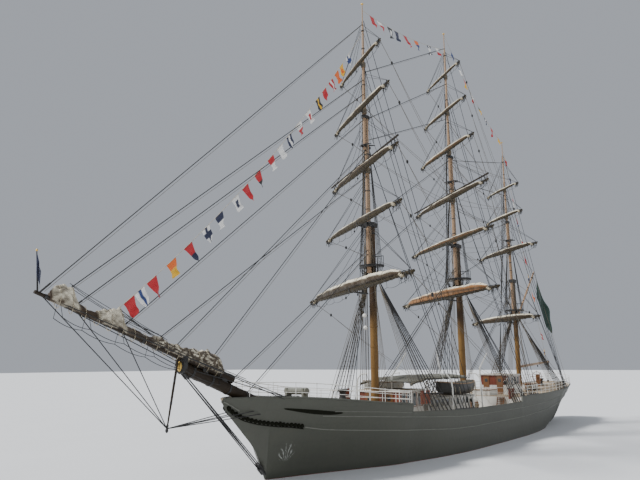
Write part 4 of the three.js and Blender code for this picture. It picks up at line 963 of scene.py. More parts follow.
def make_mast_fittings():
    """Fife rails with pins, coils of rope, lamps on the foremast and the pin rails on the bulwarks."""
    surface = Surface()
    for mast in MASTS.values():
        posts = xyz([mast.x - 0.8, mast.x + 0.9], 1.1, mast.foot)
        pins = np.linspace(*posts, 8) + [0, 0, 0.68]
        surface.rods(both(posts), both(posts + [0, 0, 0.95]), 0.09, 8)
        surface.rods(both(posts[0] + [-0.1, 0, 0.9]), both(posts[1] + [0.1, 0, 0.9]), 0.08, 8)
        surface.rods(both(pins), both(pins + [0, 0, 0.45]), 0.022, 5, 2)
        for out in (0.07, 0.12, 0.17):
            surface.rings(both(pins[1:-1:2] + [0, out, -0.05]), [0.15, 1, 0.1], 0.17, 0.022, 1)
    for start, end in ((4.2, 7.6), (-13.3, -9.6), (-29.8, -25.9), (-7.5, -6.0)):
        at = np.linspace(start, end, 12)
        shelf = xyz(at, rail_half(at) - BULWARK - 0.18, column(RAIL_COLUMN, at) - 0.35)
        surface.tubes(both(shelf), 0.07, 6)
        surface.rods(both(shelf - [0, 0, 0.2]), both(shelf + [0, 0, 0.24]), 0.02, 5, 2)
        surface.rings(both(shelf[::2] - [0, 0.1, 0.1]), [0.1, 1, 0.1], 0.16, 0.024, 1)
    lamps = np.array([[9.35, 0.05, 11.3], [9.25, 0.05, 10.3]])
    surface.eggs(lamps, 0.17, 3, 12, 9)
    surface.rods(lamps - [0.45, 0.05, 0], lamps, 0.04, 6, 4)
    surface.build("pin_rails_and_coils", "wood pale wood white iron", "varnished_wood")


# Yards and sails


def yard_frame(yard):
    """The yard's mast, pivot, distance from there to its axis, and what turns points as it is braced."""
    mast = MASTS[yard.mast]
    step, arm = TRUSS_PIVOT, TRUSS_ARM if yard.sling == "truss" else CAP_ARM
    if yard.sling in ("topmast", "pole"):
        step = TOPMAST_STEP if yard.sling == "topmast" else POLE_STEP
        arm = parrel_radius(mast, yard) + yard.radius + 0.2
    angle = math.radians(BRACE_DEG[yard.mast])
    turn = [[math.cos(angle), math.sin(angle), 0], [-math.sin(angle), math.cos(angle), 0], [0, 0, 1]]

    def put(points):
        return np.asarray(points, float) @ turn + [mast.x + step, 0, yard.z]

    return mast, mast.x + step, arm, put


def parrel_radius(mast, yard):
    """Radius of the spar that the parrel goes round, at the parrel's lower edge."""
    low = yard.z - 0.25
    if yard.sling == "topmast":
        share = (low - mast.cap) / (mast.upper_cap + 0.1 - mast.cap)
        return mast.radius * (0.62 - 0.12 * max(0.0, share))
    return float(pole_radius(mast, low))


def pole_radius(mast, z):
    """Radius of the pole mast at a height."""
    base, neck = mast.upper_cap + 0.5, mast.truck - 2.2
    share = np.clip((z - base) / (neck - base), 0, 1)
    return mast.radius * np.where(z > neck + 0.2, 0.16, 0.42 - 0.14 * share)


def taper(yard, share):
    """Radius of the yard at a share of its half length."""
    return yard.radius * np.interp(np.abs(share), YARD_TAPER[:, 0], YARD_TAPER[:, 1])


def make_yard(yard):
    """A spar tapered to both arms, with its jackstay, bands, parrel or truss, footropes and blocks."""
    mast, _, arm, put = yard_frame(yard)
    surface = Surface()
    share = np.linspace(-1, 1, 41)
    surface.tubes(put(xyz(arm, share * yard.half, 0)), taper(yard, share), 16)
    at = np.array([-0.97, -0.9, -0.62, -0.3, -0.06, 0.06, 0.3, 0.62, 0.9, 0.97])
    bands = xyz(arm, (at * yard.half)[:, None] + [-0.04, 0.04], 0)
    surface.tubes(put(bands), taper(yard, at) + 0.014, 16, 1)
    jack = xyz(arm + 0.03, share * yard.half * 0.95, taper(yard, share * 0.95) + 0.05)
    surface.tubes(put(jack), 0.014, 5, 1)
    sling_fittings(surface, yard, mast, arm, put)
    footropes(surface, yard, arm, put)
    arm_tackles(surface, yard, arm, put)
    if yard.name.endswith("upper_topsail_yard"):
        reach, up = yard.half * 1.02, yard.radius + 0.33
        surface.tubes(put(xyz(arm + 0.06, np.linspace(-reach, reach, 12), up)), 0.085, 8, 4)
        holds = xyz(arm, yard.half * np.array([-0.93, -0.86, 0.86, 0.93]), 0)
        surface.rods(put(holds), put(holds + [0.06, 0, up]), 0.035, 6, 1)
    surface.build(yard.name, "yard iron wire rope bowsprit pale", "yard_paint", f"{yard.name}_body")


def sling_fittings(surface, yard, mast, arm, put):
    """A truss of two eyes and its arms, or a parrel round the mast."""
    if yard.sling in ("truss", "cap"):
        rods = [([arm, -0.14, 0], [arm, 0.14, 0], yard.radius * 1.12, 16),
                ([0.35, 0, -0.26], [0.35, 0, 0.26], 0.09, 8)]
        for z in (-0.27, 0.27):
            rods += [([0, 0, z - 0.05], [0, 0, z + 0.05], 0.15, 14), ([0, 0, z], [arm, 0, z * 0.6], 0.07, 8)]
    else:
        inner = parrel_radius(mast, yard)
        rods = [([inner + 0.02, 0, 0], [arm, 0, 0], 0.09, 8)]
        collar = put(xyz(0, 0, [-0.25, -0.2, 0.2, 0.25]))
        surface.tubes(collar, inner + np.array([0.05, 0.1, 0.1, 0.05]), 20, 3)
    for start, end, radius, sides in rods:
        surface.rods(put(start), put(end), radius, sides, 1)


def footropes(surface, yard, arm, put):
    """Bights of rope below the yard, held up at even steps by stirrups."""
    line = xyz(arm - 0.12, np.linspace(0.04, 0.97, 6) * yard.half, -min(0.6, yard.half * 0.08))
    start, end = line[:-1].copy(), line[1:].copy()
    start[0, 2], end[-1, 2] = -0.1, -0.08
    surface.tubes(put(hanging(both(start), both(end), 0.12, 7)), 0.015, 4, 2)
    stirrups = both(end[:-1])
    surface.rods(put(stirrups), put(stirrups * [1, 1, 0] + [0.08, 0, 0.05]), 0.011, 4, 2)


def arm_tackles(surface, yard, arm, put):
    """Coils and blocks that hug the arms, clews and short falls that hang from them, and bunt blocks."""
    size = 0.07 + 0.22 * yard.radius
    for share, drop in ((0.96, 0.1), (0.9, 0.16), (0.84, 0.12), (0.12, 0.3)):
        tops = xyz(arm, np.array([-1, 1]) * share * yard.half, -taper(yard, share))
        lows = tops - [0, 0, drop]
        surface.rods(put(tops), put(lows), 0.018, 4, 2)
        surface.eggs(put(lows), (size * 0.7, size * 0.5, size), 1)
    number = np.arange(8)
    coil_at = np.linspace(0.82, 0.975, 8)
    for side in (-1, 1):
        spots = xyz(arm + 0.04 * np.sin(2.3 * number), side * coil_at * yard.half,
                    -0.05 - 0.05 * np.cos(1.7 * number))
        axes = xyz(0.35 * np.sin(number), 1, 0.3 * np.cos(number))
        wide = taper(yard, coil_at) + 0.05 + 0.04 * np.sin(3.1 * number + side)
        for turn in number:
            surface.rings(put(spots[turn]), axes[turn], wide[turn], 0.03, 2 + turn % 2)
        foot = 0.18 + 0.3 * np.abs(np.sin(1.9 * number + side)) * min(1.0, yard.half / 8)
        tops = xyz(arm, side * coil_at * yard.half, -0.05)
        lows = tops + xyz(0.08 * np.sin(2 * number), 0.12 * np.cos(3 * number), -foot - 0.15)
        surface.rods(put(tops), put(lows), 0.02, 4, 2)
        clew = xyz([arm + 0.05, arm + 0.08], side * yard.half * np.array([0.835, 0.86]), [0, -0.12])
        surface.eggs(put(clew), (size * 1.2, size * 1.8, size * 1.1), 5, 10, 7)


def sail_radius(yard, share):
    """Radius of the furled sail along its yard; the sails above the course are rolled tighter."""
    tight = 0.95 if yard.sling == "truss" else 0.76
    return yard.sail * tight * np.interp(np.abs(share), SAIL_TAPER[:, 0], SAIL_TAPER[:, 1])


def bundle(yard, arm):
    """The furled sail's surface (along, around, 3): a flattened circle over the yard, drawn in a little at
    each gasket, with rolled folds that drift round it along the yard. Its colour attribute holds painted
    shade on the underside, how much painted warm bounce light that shade holds, and painted shade in the
    folds."""
    share, turn = np.meshgrid(np.linspace(-0.82, 0.82, 121), circle(26), indexing="ij")
    size = sail_radius(yard, share)
    seed = sum(ord(letter) for letter in yard.name) * 0.37
    place = share * yard.half
    pinch = 0.5 + 0.5 * np.cos(2 * math.pi * place / sizes().gasket)
    roll = np.sin(5 * turn + 0.22 * place + seed)
    folds = 0.06 * roll + 0.03 * np.sin(9 * turn - 0.5 * place + seed)
    lumps = 0.05 * np.sin(1.3 * place + seed) + 0.03 * np.sin(3.7 * place + 2 * seed)
    size = size * (1.0 + folds + lumps - 0.07 * pinch**6)
    base = taper(yard, share)
    x = arm + 0.06 * yard.sail + size * 0.98 * np.cos(turn)
    droop = np.clip(-np.sin(turn), 0, 1) * np.abs(np.cos(turn))
    z = base + 0.5 * size + size * 0.84 * np.sin(turn) - droop * (0.35 * size + 0.5 * base)
    # How far up the bundle the painted shade reaches: higher for a warmer painted shade, lower on the pole
    # yards.
    shaded = 0.3 + 0.35 * yard.tan - 0.35 * (yard.sling == "pole")
    # Painted shade on the underside of the bundle.
    under = np.clip((shaded - np.sin(turn) + 0.1 * np.sin(2.3 * place + seed)) / 0.35, 0, 1)
    # Painted shade in the hollows of the rolled folds.
    fold_shade = np.clip(-roll, 0, 1) ** 0.7
    return xyz(x, place, z), xyz(under, 0.04 + 0.85 * yard.tan**2.2, fold_shade)


def make_sail(yard):
    """A square sail furled on its yard, and the gaskets that hold it there."""
    _, _, arm, put = yard_frame(yard)
    cloth, tint = bundle(yard, arm)
    surface = Surface()
    surface.grids(put(cloth)[None], 0, tint[None])
    name = yard.name.replace("_yard", "_sail")
    piece = surface.build(name, "sail", "sailcloth", f"{yard.name}_body", angle=70)
    gaskets(yard, arm, put)


def gaskets(yard, arm, put):
    """Rope bands round sail and yard at the places where the bundle is drawn in."""
    step = sizes().gasket
    places = (np.arange(-math.floor(0.78 * yard.half / step), 0.78 * yard.half / step) * step)[:, None]
    turn = np.linspace(0, 2 * math.pi, 15)
    size = sail_radius(yard, places / yard.half) * 1.02
    base = taper(yard, places / yard.half)
    high, low = base + 1.36 * size, -base - 0.03
    x = arm + 0.04 * yard.sail + np.maximum(size, base + 0.04) * np.cos(turn)
    z = (high + low) / 2 + (high - low) / 2 * np.sin(turn)
    surface = Surface()
    surface.tubes(put(xyz(x, places, z)), 0.016, 4)
    surface.build(f"{yard.name}_gaskets", "rope", "cordage", f"{yard.name}_body")


def make_lifts(yard):
    """Lifts, buntlines and the tye from the mast down to the yard."""
    mast, pivot, arm, put = yard_frame(yard)
    shares = np.array([-0.97, -0.97, 0.97, 0.97, -0.5, 0.5, -0.22, 0.22])
    rise = np.array([0.0, -0.35, 0.0, -0.35, -0.6, -0.6, -1.0, -1.0])
    foot = put(xyz(arm, shares * yard.half, taper(yard, shares) + 0.03))
    step = TOPMAST_STEP if yard.lift <= mast.upper_cap else POLE_STEP
    head = xyz(mast.x + step + 0.15, 0.12 * np.sign(shares), yard.lift + rise)
    surface = Surface()
    surface.tubes(hanging(head, foot, 0.0, 12), np.repeat([sizes().wire * 0.7, sizes().line], 4), 4)
    piece = surface.build(f"{yard.name}_lifts", "wire", "tarred_wire", None)
    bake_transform(piece)


def make_braces(yard):
    """The braces of each arm: a pennant, a block and two parts of rope to where they lead."""
    _, _, arm, put = yard_frame(yard)
    line = sizes().line
    for side, label in SIDES:
        arm_end = put([arm - 0.05, side * yard.half * 0.95, 0])
        lead = yard.lead * np.array([1, side, 1])
        block = arm_end + (lead - arm_end) * 0.13
        surface = Surface()
        surface.rods(arm_end, block, line * 1.3)
        surface.eggs(block, (0.13, 0.09, 0.17), 1)
        apart = np.array([0, side * 0.1, 0.3])
        sag = 0.02 * np.linalg.norm(lead - block)
        surface.tubes(hanging(block, [lead + apart, lead - apart], sag, 16), line, 4)
        piece = surface.build(f"{yard.name}_{label}_brace", "rope iron", "cordage", None)
        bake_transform(piece)


# Rigging


def shroud_foot(x):
    """Where a shroud meets the port rail: the middle of the bulwark's top."""
    return xyz(x, column(HALF_COLUMN, x) - BULWARK / 2, column(RAIL_COLUMN, x))


def laddered(surface, feet, heads, radius, sides, low, high):
    """Shrouds, and ratlines between neighbours: short sagging ropes at even steps of height."""
    surface.rods(feet, heads, radius, sides)
    levels = np.arange(low, high, sizes().ratline)
    at = (levels[None, :, None] - feet[:, None, 2:]) / (heads - feet)[:, None, 2:]
    rungs = feet[:, None] + (heads - feet)[:, None] * at
    surface.tubes(hanging(rungs[:-1], rungs[1:], 0.02, 3), 0.008, 3, 1)


def make_shrouds(mast, side, label):
    """Lower shrouds with screws and ratlines, futtock, topmast and topgallant shrouds, and backstays."""
    wire = sizes().wire
    x, r, half = mast.x, mast.radius, mast.top_width / 2
    surface = Surface(side)
    feet = shroud_foot(x - np.linspace(0.35, 3.55, 6)) + [0, 0, 0.02]
    heads = xyz(x, r * 0.93 + 0.06, mast.top - 0.5 - 0.05 * np.arange(6))
    climb = (heads - feet) / (heads - feet)[:, 2:]
    pole = feet + climb * 1.35
    laddered(surface, feet, heads, wire * 1.25, 6, pole[0, 2] + sizes().ratline, mast.top - 1.3)
    surface.rods(feet, feet + climb * 0.85, 0.05, 7, 2)
    surface.rods(feet + climb * 0.255, feet + climb * 0.595, 0.03, 7, 2)
    surface.tubes([pole[0] + [0.15, 0, 0], pole[0], pole[-1], pole[-1] - [0.15, 0, 0]], 0.045, 7, 2)
    rim = xyz(x + np.linspace(-0.15, 0.62, 4), half * 0.96, mast.top + 0.02)
    surface.rods([x, r, mast.top - 1.7], rim, wire, 5)
    backstays(surface, mast)
    feet = xyz(x + np.linspace(-0.1, 0.6, 4), half * 0.93, mast.top + 0.15)
    heads = xyz(x + 0.5, 0.26, mast.trees - 0.25 - 0.06 * np.arange(4))
    laddered(surface, feet, heads, wire * 0.9, 5, mast.top + 0.7, mast.trees - 0.8)
    hounds = mast.upper_cap + (mast.truck - mast.upper_cap) * 0.42
    feet = xyz([x + 0.2, x + 0.85], mast.top_width * CROSSTREE * 0.95, mast.trees + 0.1)
    heads = xyz(x + 0.8, 0.14, [hounds, hounds - 0.1])
    laddered(surface, feet, heads, wire * 0.7, 5, mast.trees + 0.6, hounds - 0.8)
    surface.build(f"{label}_{mast.name}_shrouds", "wire wire iron", "tarred_wire")


def backstays(surface, mast):
    """Topmast, topgallant and royal backstays, and the plank on the rail at which they are set up."""
    reach, levels = np.array(BACKSTAYS[mast.name]).T
    feet = shroud_foot(mast.x - reach)
    topmast = levels < mast.trees
    out = np.where(topmast, mast.radius * 0.6 + 0.05, pole_radius(mast, levels) + 0.045)
    heads = xyz(mast.x + np.where(topmast, TOPMAST_STEP, POLE_STEP) - 0.02, out, levels)
    surface.rods(feet, heads, sizes().wire * 0.95, 5)
    surface.rods(feet, feet + (heads - feet) * (0.8 / (heads - feet)[:, 2:]), 0.045, 7, 2)
    plank = shroud_foot(mast.x - np.linspace(reach.min() - 0.25, reach.max() + 0.25, 9))
    surface.tubes(plank + [0, 0, 0.05], 0.055, 6, 2)


def boom_axis(x, spar=JIBBOOM):
    """Height of the axis of the jib-boom, or of the bowsprit, at a place."""
    (x0, _, z0), (x1, _, z1) = spar.heel, spar.tip
    return z0 + (z1 - z0) * (np.asarray(x) - x0) / (x1 - x0)


# Stays: step and height of the head on its mast, then place and height of the foot, on the jib-boom if None.
STAYS = {
    "fore": [(0.2, 17.0, 23.9, 5.05), (0.2, 17.3, 25.2, 6.0), (0.5, 25.85, 26.9, None),
             (0.5, 26.15, 29.6, None), (0.5, 23.7, 30.9, None), (0.8, 28.9, 33.05, None),
             (0.8, 31.3, 35.9, None), (0.8, 32.7, 36.9, None), (0.8, 38.2, 37.7, None)],
    "main": [(0.2, 17.8, 7.6, 5.4), (0.2, 17.5, 7.3, 5.2), (0.5, 26.5, 8.0, 16.3), (0.7, 29.6, 8.2, 19.75),
             (0.8, 34.4, 8.5, 26.9), (0.8, 38.6, 8.6, 28.85), (0.8, 43.0, 8.65, 33.4)],
    "mizzen": [(0.2, 16.8, -9.0, 5.0), (0.2, 16.5, -9.1, 4.8), (0.5, 22.5, -9.1, 16.5),
               (0.7, 25.2, -8.9, 20.3), (0.8, 28.9, -8.7, 27.3), (0.8, 33.4, -8.6, 29.5)],
}


def make_stays():
    """Fore-and-aft stays, each with a downhaul beside it."""
    for mast, rows in STAYS.items():
        heads = np.array([[MASTS[mast].x + step, 0, z] for step, z, _, _ in rows])
        feet = np.array([[x, 0, boom_axis(x) if z is None else z] for _, _, x, z in rows])
        surface = Surface()
        surface.rods(heads, feet, sizes().wire * 1.1, 6)
        downhauls = hanging(heads + [0, 0.09, 0], feet + [-0.25, 0.09, 0.1], 0.12, 14)
        surface.tubes(downhauls, sizes().line * 0.8, 4, 1)
        surface.rods(feet, feet + (heads - feet) * 0.02, 0.05, 7, 2)
        surface.build(f"{mast}_stay", "wire rope iron", "tarred_wire")


def make_falls():
    """Running rigging that comes down the masts to the pin rails, and the halyards along the stays."""
    surface = Surface()
    for mast in MASTS.values():
        x, top = mast.x, mast.top
        for feet, heads, sag, steps in (
                (shroud_foot(x + np.linspace(-2.6, 0.9, 8)) - [0, 0.3, 0.4],
                 xyz(x + 0.3, 0.3, np.linspace(top - 0.4, top + 0.1, 8)), 0.12, 8),
                (xyz(np.linspace(x - 0.7, x + 0.8, 5), 1.1, mast.foot + 0.95),
                 xyz(x + 0.5, 0.28, np.linspace(top + 0.2, mast.cap, 5)), 0.05, 6),
                (xyz([x + 0.62, x + 0.7], [0.3, 0.32], top + 0.2),
                 xyz([x + 0.85, x + 0.9], [0.18, 0.2], [mast.upper_cap + 3.0, mast.trees]), 0.05, 6)):
            surface.tubes(hanging(both(feet), both(heads), sag, steps), sizes().line, 4)
    surface.build("falls", "rope", "cordage")


# Headgear


def make_bowsprit():
    """Bowsprit and jib-boom as tapered circles, with bands, cap, saddle and heel chocks."""
    surface = Surface()
    for spar, marks in ((BOWSPRIT, (9, 13, 17, 21)), (JIBBOOM, (2, 5, 12, 16, 20, 22))):
        path = np.linspace(spar.heel, spar.tip, 24)
        size = np.linspace(spar.radius, spar.end, 24)
        surface.tubes(path, size, 20)
        along = unit(path[1] - path[0]) * 0.07
        for mark in marks:
            surface.rods(path[mark] - along, path[mark] + along, size[mark] + 0.025, 20, 1)
    x, _, z = BOWSPRIT.tip
    turn = circle(24)
    ring = xyz([[x - 0.14], [x + 0.14]], 0.40 * np.cos(turn), 0.66 * np.sin(turn) + z + 0.26)
    surface.grids(ring[None], 1)
    surface.eggs([x + 0.15, 0, z + 0.05], (0.1, 0.2, 0.3), 2, 14, 9)
    for x in (25.4, 27.0):
        z = boom_axis(x, BOWSPRIT)
        surface.boxes([x - 0.2, -0.2, z + 0.2], [x + 0.2, 0.2, z + 0.62], 1)
    surface.build("bowsprit", "bowsprit iron gilding", "bowsprit_paint")


def make_striker():
    """The dolphin striker: a spar that swells in the middle, with a shod tip."""
    t = np.linspace(0, 1, 14)
    path = np.linspace(STRIKER.heel, STRIKER.tip, 14)
    surface = Surface()
    surface.tubes(path, STRIKER.radius * (0.85 + 0.25 * np.sin(math.pi * t) - 0.35 * t), 14)
    for mark in (4, 8, 12):
        surface.rods(path[mark], path[mark:mark + 2].mean(0), STRIKER.radius * 0.95, 14, 1)
    surface.eggs(path[-1], (0.09, 0.09, 0.14), 1, 10, 7)
    surface.build("dolphin_striker", "bowsprit iron", "spar_wood")


# Lines that hang from the heaps of the jibs: their upper end, their lower end and their slack.
HEAP_LINES = np.array([
    [36.1, 0, 11.4, 30.0, 0, 8.85, 0.1], [36.05, 0.1, 11.3, 30.6, 0.2, 9.05, 0.25],
    [36.0, -0.1, 11.2, 29.6, -0.2, 8.6, 0.15], [33.25, 0, 10.35, 29.9, 0.1, 8.75, 0.05],
    [33.15, 0.12, 10.3, 30.4, 0.3, 8.95, 0.2], [33.1, -0.12, 10.25, 28.9, 0.1, 8.25, 0.15],
    [33.0, 0.2, 10.15, 28.4, -0.2, 8.1, 0.25], [32.9, -0.2, 10.1, 29.4, -0.1, 8.5, 0.1],
])


def on_boom(x, y, up):
    """Points to port of the jib-boom and above its axis."""
    return xyz(x, y, boom_axis(x) + up)


def make_head_rigging():
    """Bobstays, martingale stays and backropes, bowsprit shrouds, footropes and netting lines."""
    wire = sizes().wire
    surface = Surface()
    tip = STRIKER.tip + np.array([0, 0, 0.1])
    cap = BOWSPRIT.tip + np.array([-0.1, 0, -0.35])
    feet = both([[21.75, 0.12, 0.72], [21.55, 0.12, 0.36]])
    ends = cap + feet * [0, 1, 0]
    surface.rods(feet, ends, wire * 1.3, 6)
    surface.rods(feet, feet + (cap - feet) * 0.06, 0.09, 8, 1)
    surface.rods(ends, ends + (feet - cap) * 0.05, 0.07, 8, 1)
    surface.rods(tip, on_boom([32.9, 35.7, 37.6], 0, 0), wire, 5)
    surface.rods(tip, both([[23.0, 0.9, 4.5], [22.4, 1.1, 4.3]]), wire, 5)
    guys = both([[20.3, 2.4, 4.9], [20.8, 2.3, 4.93], [21.3, 2.1, 4.96]])
    surface.rods(guys, both([[28.5, 0.2, 7.15], [33.0, 0.05, 9.2], [37.6, 0.03, 10.73]]), wire, 5)
    ropes = on_boom([26.0, 28.9, 31.0, 33.0, 35.0, 36.6], 0.42, -0.75)
    surface.tubes(hanging(both(ropes[:-1]), both(ropes[1:]), 0.12, 6), 0.02, 4)
    surface.rods(both(ropes), both(ropes * [1, 0.35, 1] + [0, 0, 0.7]), 0.014)
    net = np.linspace(24.6, 32.6, 17)
    top = both(on_boom(net, 0.35, 0.15))
    guide = both(on_boom(net, np.linspace(1.25, 0.45, 17), 0.05))
    surface.tubes(guide, 0.018, 4)
    surface.rods(top[:, :-1], guide[:, 1:], 0.009, 3, 2)
    surface.rods(top[:, 1:], guide[:, :-1], 0.009, 3, 2)
    heaps = hanging(HEAP_LINES[:, :3], HEAP_LINES[:, 3:6], HEAP_LINES[:, 6], 14)
    surface.tubes(heaps, sizes().line, 4)
    surface.tubes(np.linspace(JACKSTAFF.heel, JACKSTAFF.tip, 6), np.linspace(0.045, 0.025, 6), 8, 1)
    surface.eggs(JACKSTAFF.tip, 0.06, 3, 10, 7)
    surface.build("head_rigging", "wire iron rope gilding", "tarred_wire")


def make_jibs():
    """The jibs in one long furled bundle astride the jib-boom, heaped below each stay and full of folds, with
    painted shade on the underside, between the heaps, in patches and in the folds.
    """
    places, widths, heights = JIB_BUNDLE[::-1].T
    at = np.linspace(places[0], places[-1], 260)
    wide, tall = (np.convolve(np.pad(np.interp(at, places, one), 3, "edge"), np.ones(7) / 7, "valid")
                  for one in (widths, heights))
    share, angle = np.meshgrid(at, circle(26), indexing="ij")
    folds = 0.16 * np.sin(4 * angle + 5.0 * share) + 0.1 * np.sin(7 * angle - 9.0 * share)
    folds = folds + 0.08 * np.sin(11.0 * share + 2 * angle)
    lift = 0.5 + 0.5 * np.sin(angle)
    y = wide[:, None] * np.cos(angle) * (1 + 0.7 * folds) * (1.1 - 0.35 * lift)
    z = -0.12 + (tall[:, None] + 0.12) * lift * (1 + 0.5 * folds * lift)
    # Painted shade: on the slim parts between the heaps, in patches along the bundle, on the underside and in
    # the folds.
    slim = 1 - np.clip((tall - 0.34) / 0.2, 0, 1)[:, None]
    hollow_shade = np.clip(2.2 * np.sin(3.1 * share + 1.7 * np.sin(2 * angle)) - 1.35, 0, 1)
    under = np.clip(0.1 - np.sin(angle), 0, 1) * 0.7 + np.clip(-folds * 3.0, 0, 0.5)
    under = np.clip(np.maximum(np.maximum(under, slim), 0.85 * hollow_shade), 0, 1)
    surface = Surface()
    points = xyz(share + 0.05 * folds, y, boom_axis(at)[:, None] + z)
    surface.grids(points[None], 0, np.repeat(under[..., None], 3, 2)[None])
    piece = surface.build("furled_jibs", "stowed", "sailcloth", angle=75)
    at = np.arange(26.2, 36.9, 0.75)[:, None]
    turn = np.linspace(0, 2 * math.pi, 15)
    half = np.interp(at, places, heights) * 0.95 / 2
    ties = Surface()
    y = (np.interp(at, places, widths) + 0.02) * np.cos(turn)
    ties.tubes(xyz(at, y, boom_axis(at) + half - 0.12 + (half + 0.2) * np.sin(turn)), 0.016, 4)
    ties.build("jib_gaskets", "pale", "cordage")


# Deck


def make_deckhouse(house, upper, panes):
    """Walls with a plinth and corner posts, windows in frames, doors at the ends and a crowned roof."""
    surface = Surface()
    mid = house.deck + (house.top - house.deck) * 0.46
    under = house.top - 0.12
    for grow, low, high, kind in ((0, house.deck, mid, 0), (-0.02, mid, under, upper),
                                  (house.overhang, under, house.top - 0.03, 0),
                                  (house.overhang - 0.08, house.top - 0.04, house.top, 4)):
        surface.boxes([house.aft - grow, -house.half - grow, low],
                      [house.fore + grow, house.half + grow, high], kind)
    places = np.linspace(house.aft + 0.7, house.fore - 0.7, panes)
    posts = np.linspace(house.aft + 0.03, house.fore - 0.03, panes + 1)
    low, high = mid + 0.16, under - 0.2
    for side in (1, -1):
        for x, left, right, foot, head, kind, proud in (
                (places, -0.33, 0.33, low - 0.06, low, 0, 0.03),
                (places, -0.33, 0.33, high, high + 0.06, 0, 0.03),
                (places, -0.33, -0.27, low, high, 0, 0.03), (places, 0.27, 0.33, low, high, 0, 0.03),
                (places, -0.27, 0.27, low, high, 2, 0.012), (posts, -0.05, 0.05, house.deck, under, 0, 0.03),
                (0, house.aft - 0.01, house.fore + 0.01, mid - 0.04, mid + 0.04, 0, 0.03),
                (0, house.aft - 0.01, house.fore + 0.01, under - 0.1, under - 0.02, 0, 0.03)):
            near, far = sorted((side * (house.half - 0.02), side * (house.half + proud)))
            surface.boxes(xyz(x + left, near, foot), xyz(x + right, far, head), kind)
    for x, out in ((house.fore, 1), (house.aft, -1)):
        for y in (-house.half * 0.5, house.half * 0.5):
            for back, front, half, foot, head, kind in (
                    (-0.02, 0.035, 0.36, house.deck + 0.1, under - 0.12, 3),
                    (0, 0.05, 0.16, under - 0.75, under - 0.4, 2)):
                near, far = sorted((x + out * back, x + out * front))
                surface.boxes([near, y - half, foot], [far, y + half, head], kind)
    return surface


def make_houses():
    """The three deckhouses, and the stanchions that carry the awning over the main one."""
    for name, upper, panes in (("fore_deckhouse", 1, 4), ("main_deckhouse", 0, 8), ("chart_house", 1, 4)):
        surface = make_deckhouse(HOUSES[name], upper, panes)
        if name == "main_deckhouse":
            under = AWNING.z + AWNING.ridge * (1 - 1.8 / AWNING.half) - 0.06
            for x in (AWNING.back + 0.15, 0.0, 1.95):
                surface.rods(both([x, 1.8, 4.4]), both([x, 1.8, under]), 0.04, 8)
                surface.rods(both([x, 1.62, 4.4]), both([x, 1.8, 4.95]), 0.03, 8)
        surface.build(name, "white panel glass wood deck", "white_paint", angle=30, bevel=0.012)


def make_awning():
    """One sheet from a ridge rope to both edges: z falls from the ridge and sags between the posts."""
    s, t = np.meshgrid(np.linspace(0, 1, 91), np.linspace(-1, 1, 41), indexing="ij")
    bay = np.abs(np.sin(s * AWNING.bays * math.pi))
    sag = 0.10 * bay * (0.35 + 0.65 * np.abs(np.sin(t * math.pi)))
    ripples = 0.012 * np.sin(40 * s + 3 * t) * np.abs(t)
    x = AWNING.back + (AWNING.front - AWNING.back) * s
    y = AWNING.half * t * (1 - 0.035 * bay * np.abs(t) ** 3)
    z = AWNING.z + AWNING.ridge * (1 - np.abs(t) ** 1.25) - sag + ripples
    edge = np.clip((np.abs(t) - 0.96) / 0.04, 0, 1)
    z = z - 0.22 * edge * (1 - 0.25 * bay) - AWNING.slope * np.maximum(0, x - AWNING.bend)
    surface = Surface()
    # Painted shade over the whole canvas, stronger on the edges that hang down.
    under = np.repeat((0.15 + 0.25 * edge)[..., None], 3, 2)
    surface.grids(xyz(x, y, z)[None], 0, under[None], sheet=True)
    cloth = surface.build("awning", "canvas", "canvas", shell=0.006, angle=60)
    ropes = Surface()
    line = both(xyz(x[:, 0], y[:, -1], z[:, -1] + 0.2))
    ropes.tubes(line, 0.016, 4)
    spots = line[:, ::15]
    ends = spots * [1, 0, 0] + [[[0, 4.9, 3.55]], [[0, -4.9, 3.55]]]
    ropes.tubes(hanging(spots, ends, 0.03, 4), 0.011, 4)
    hem = ropes.build("awning_ropes", "pale", "cordage")


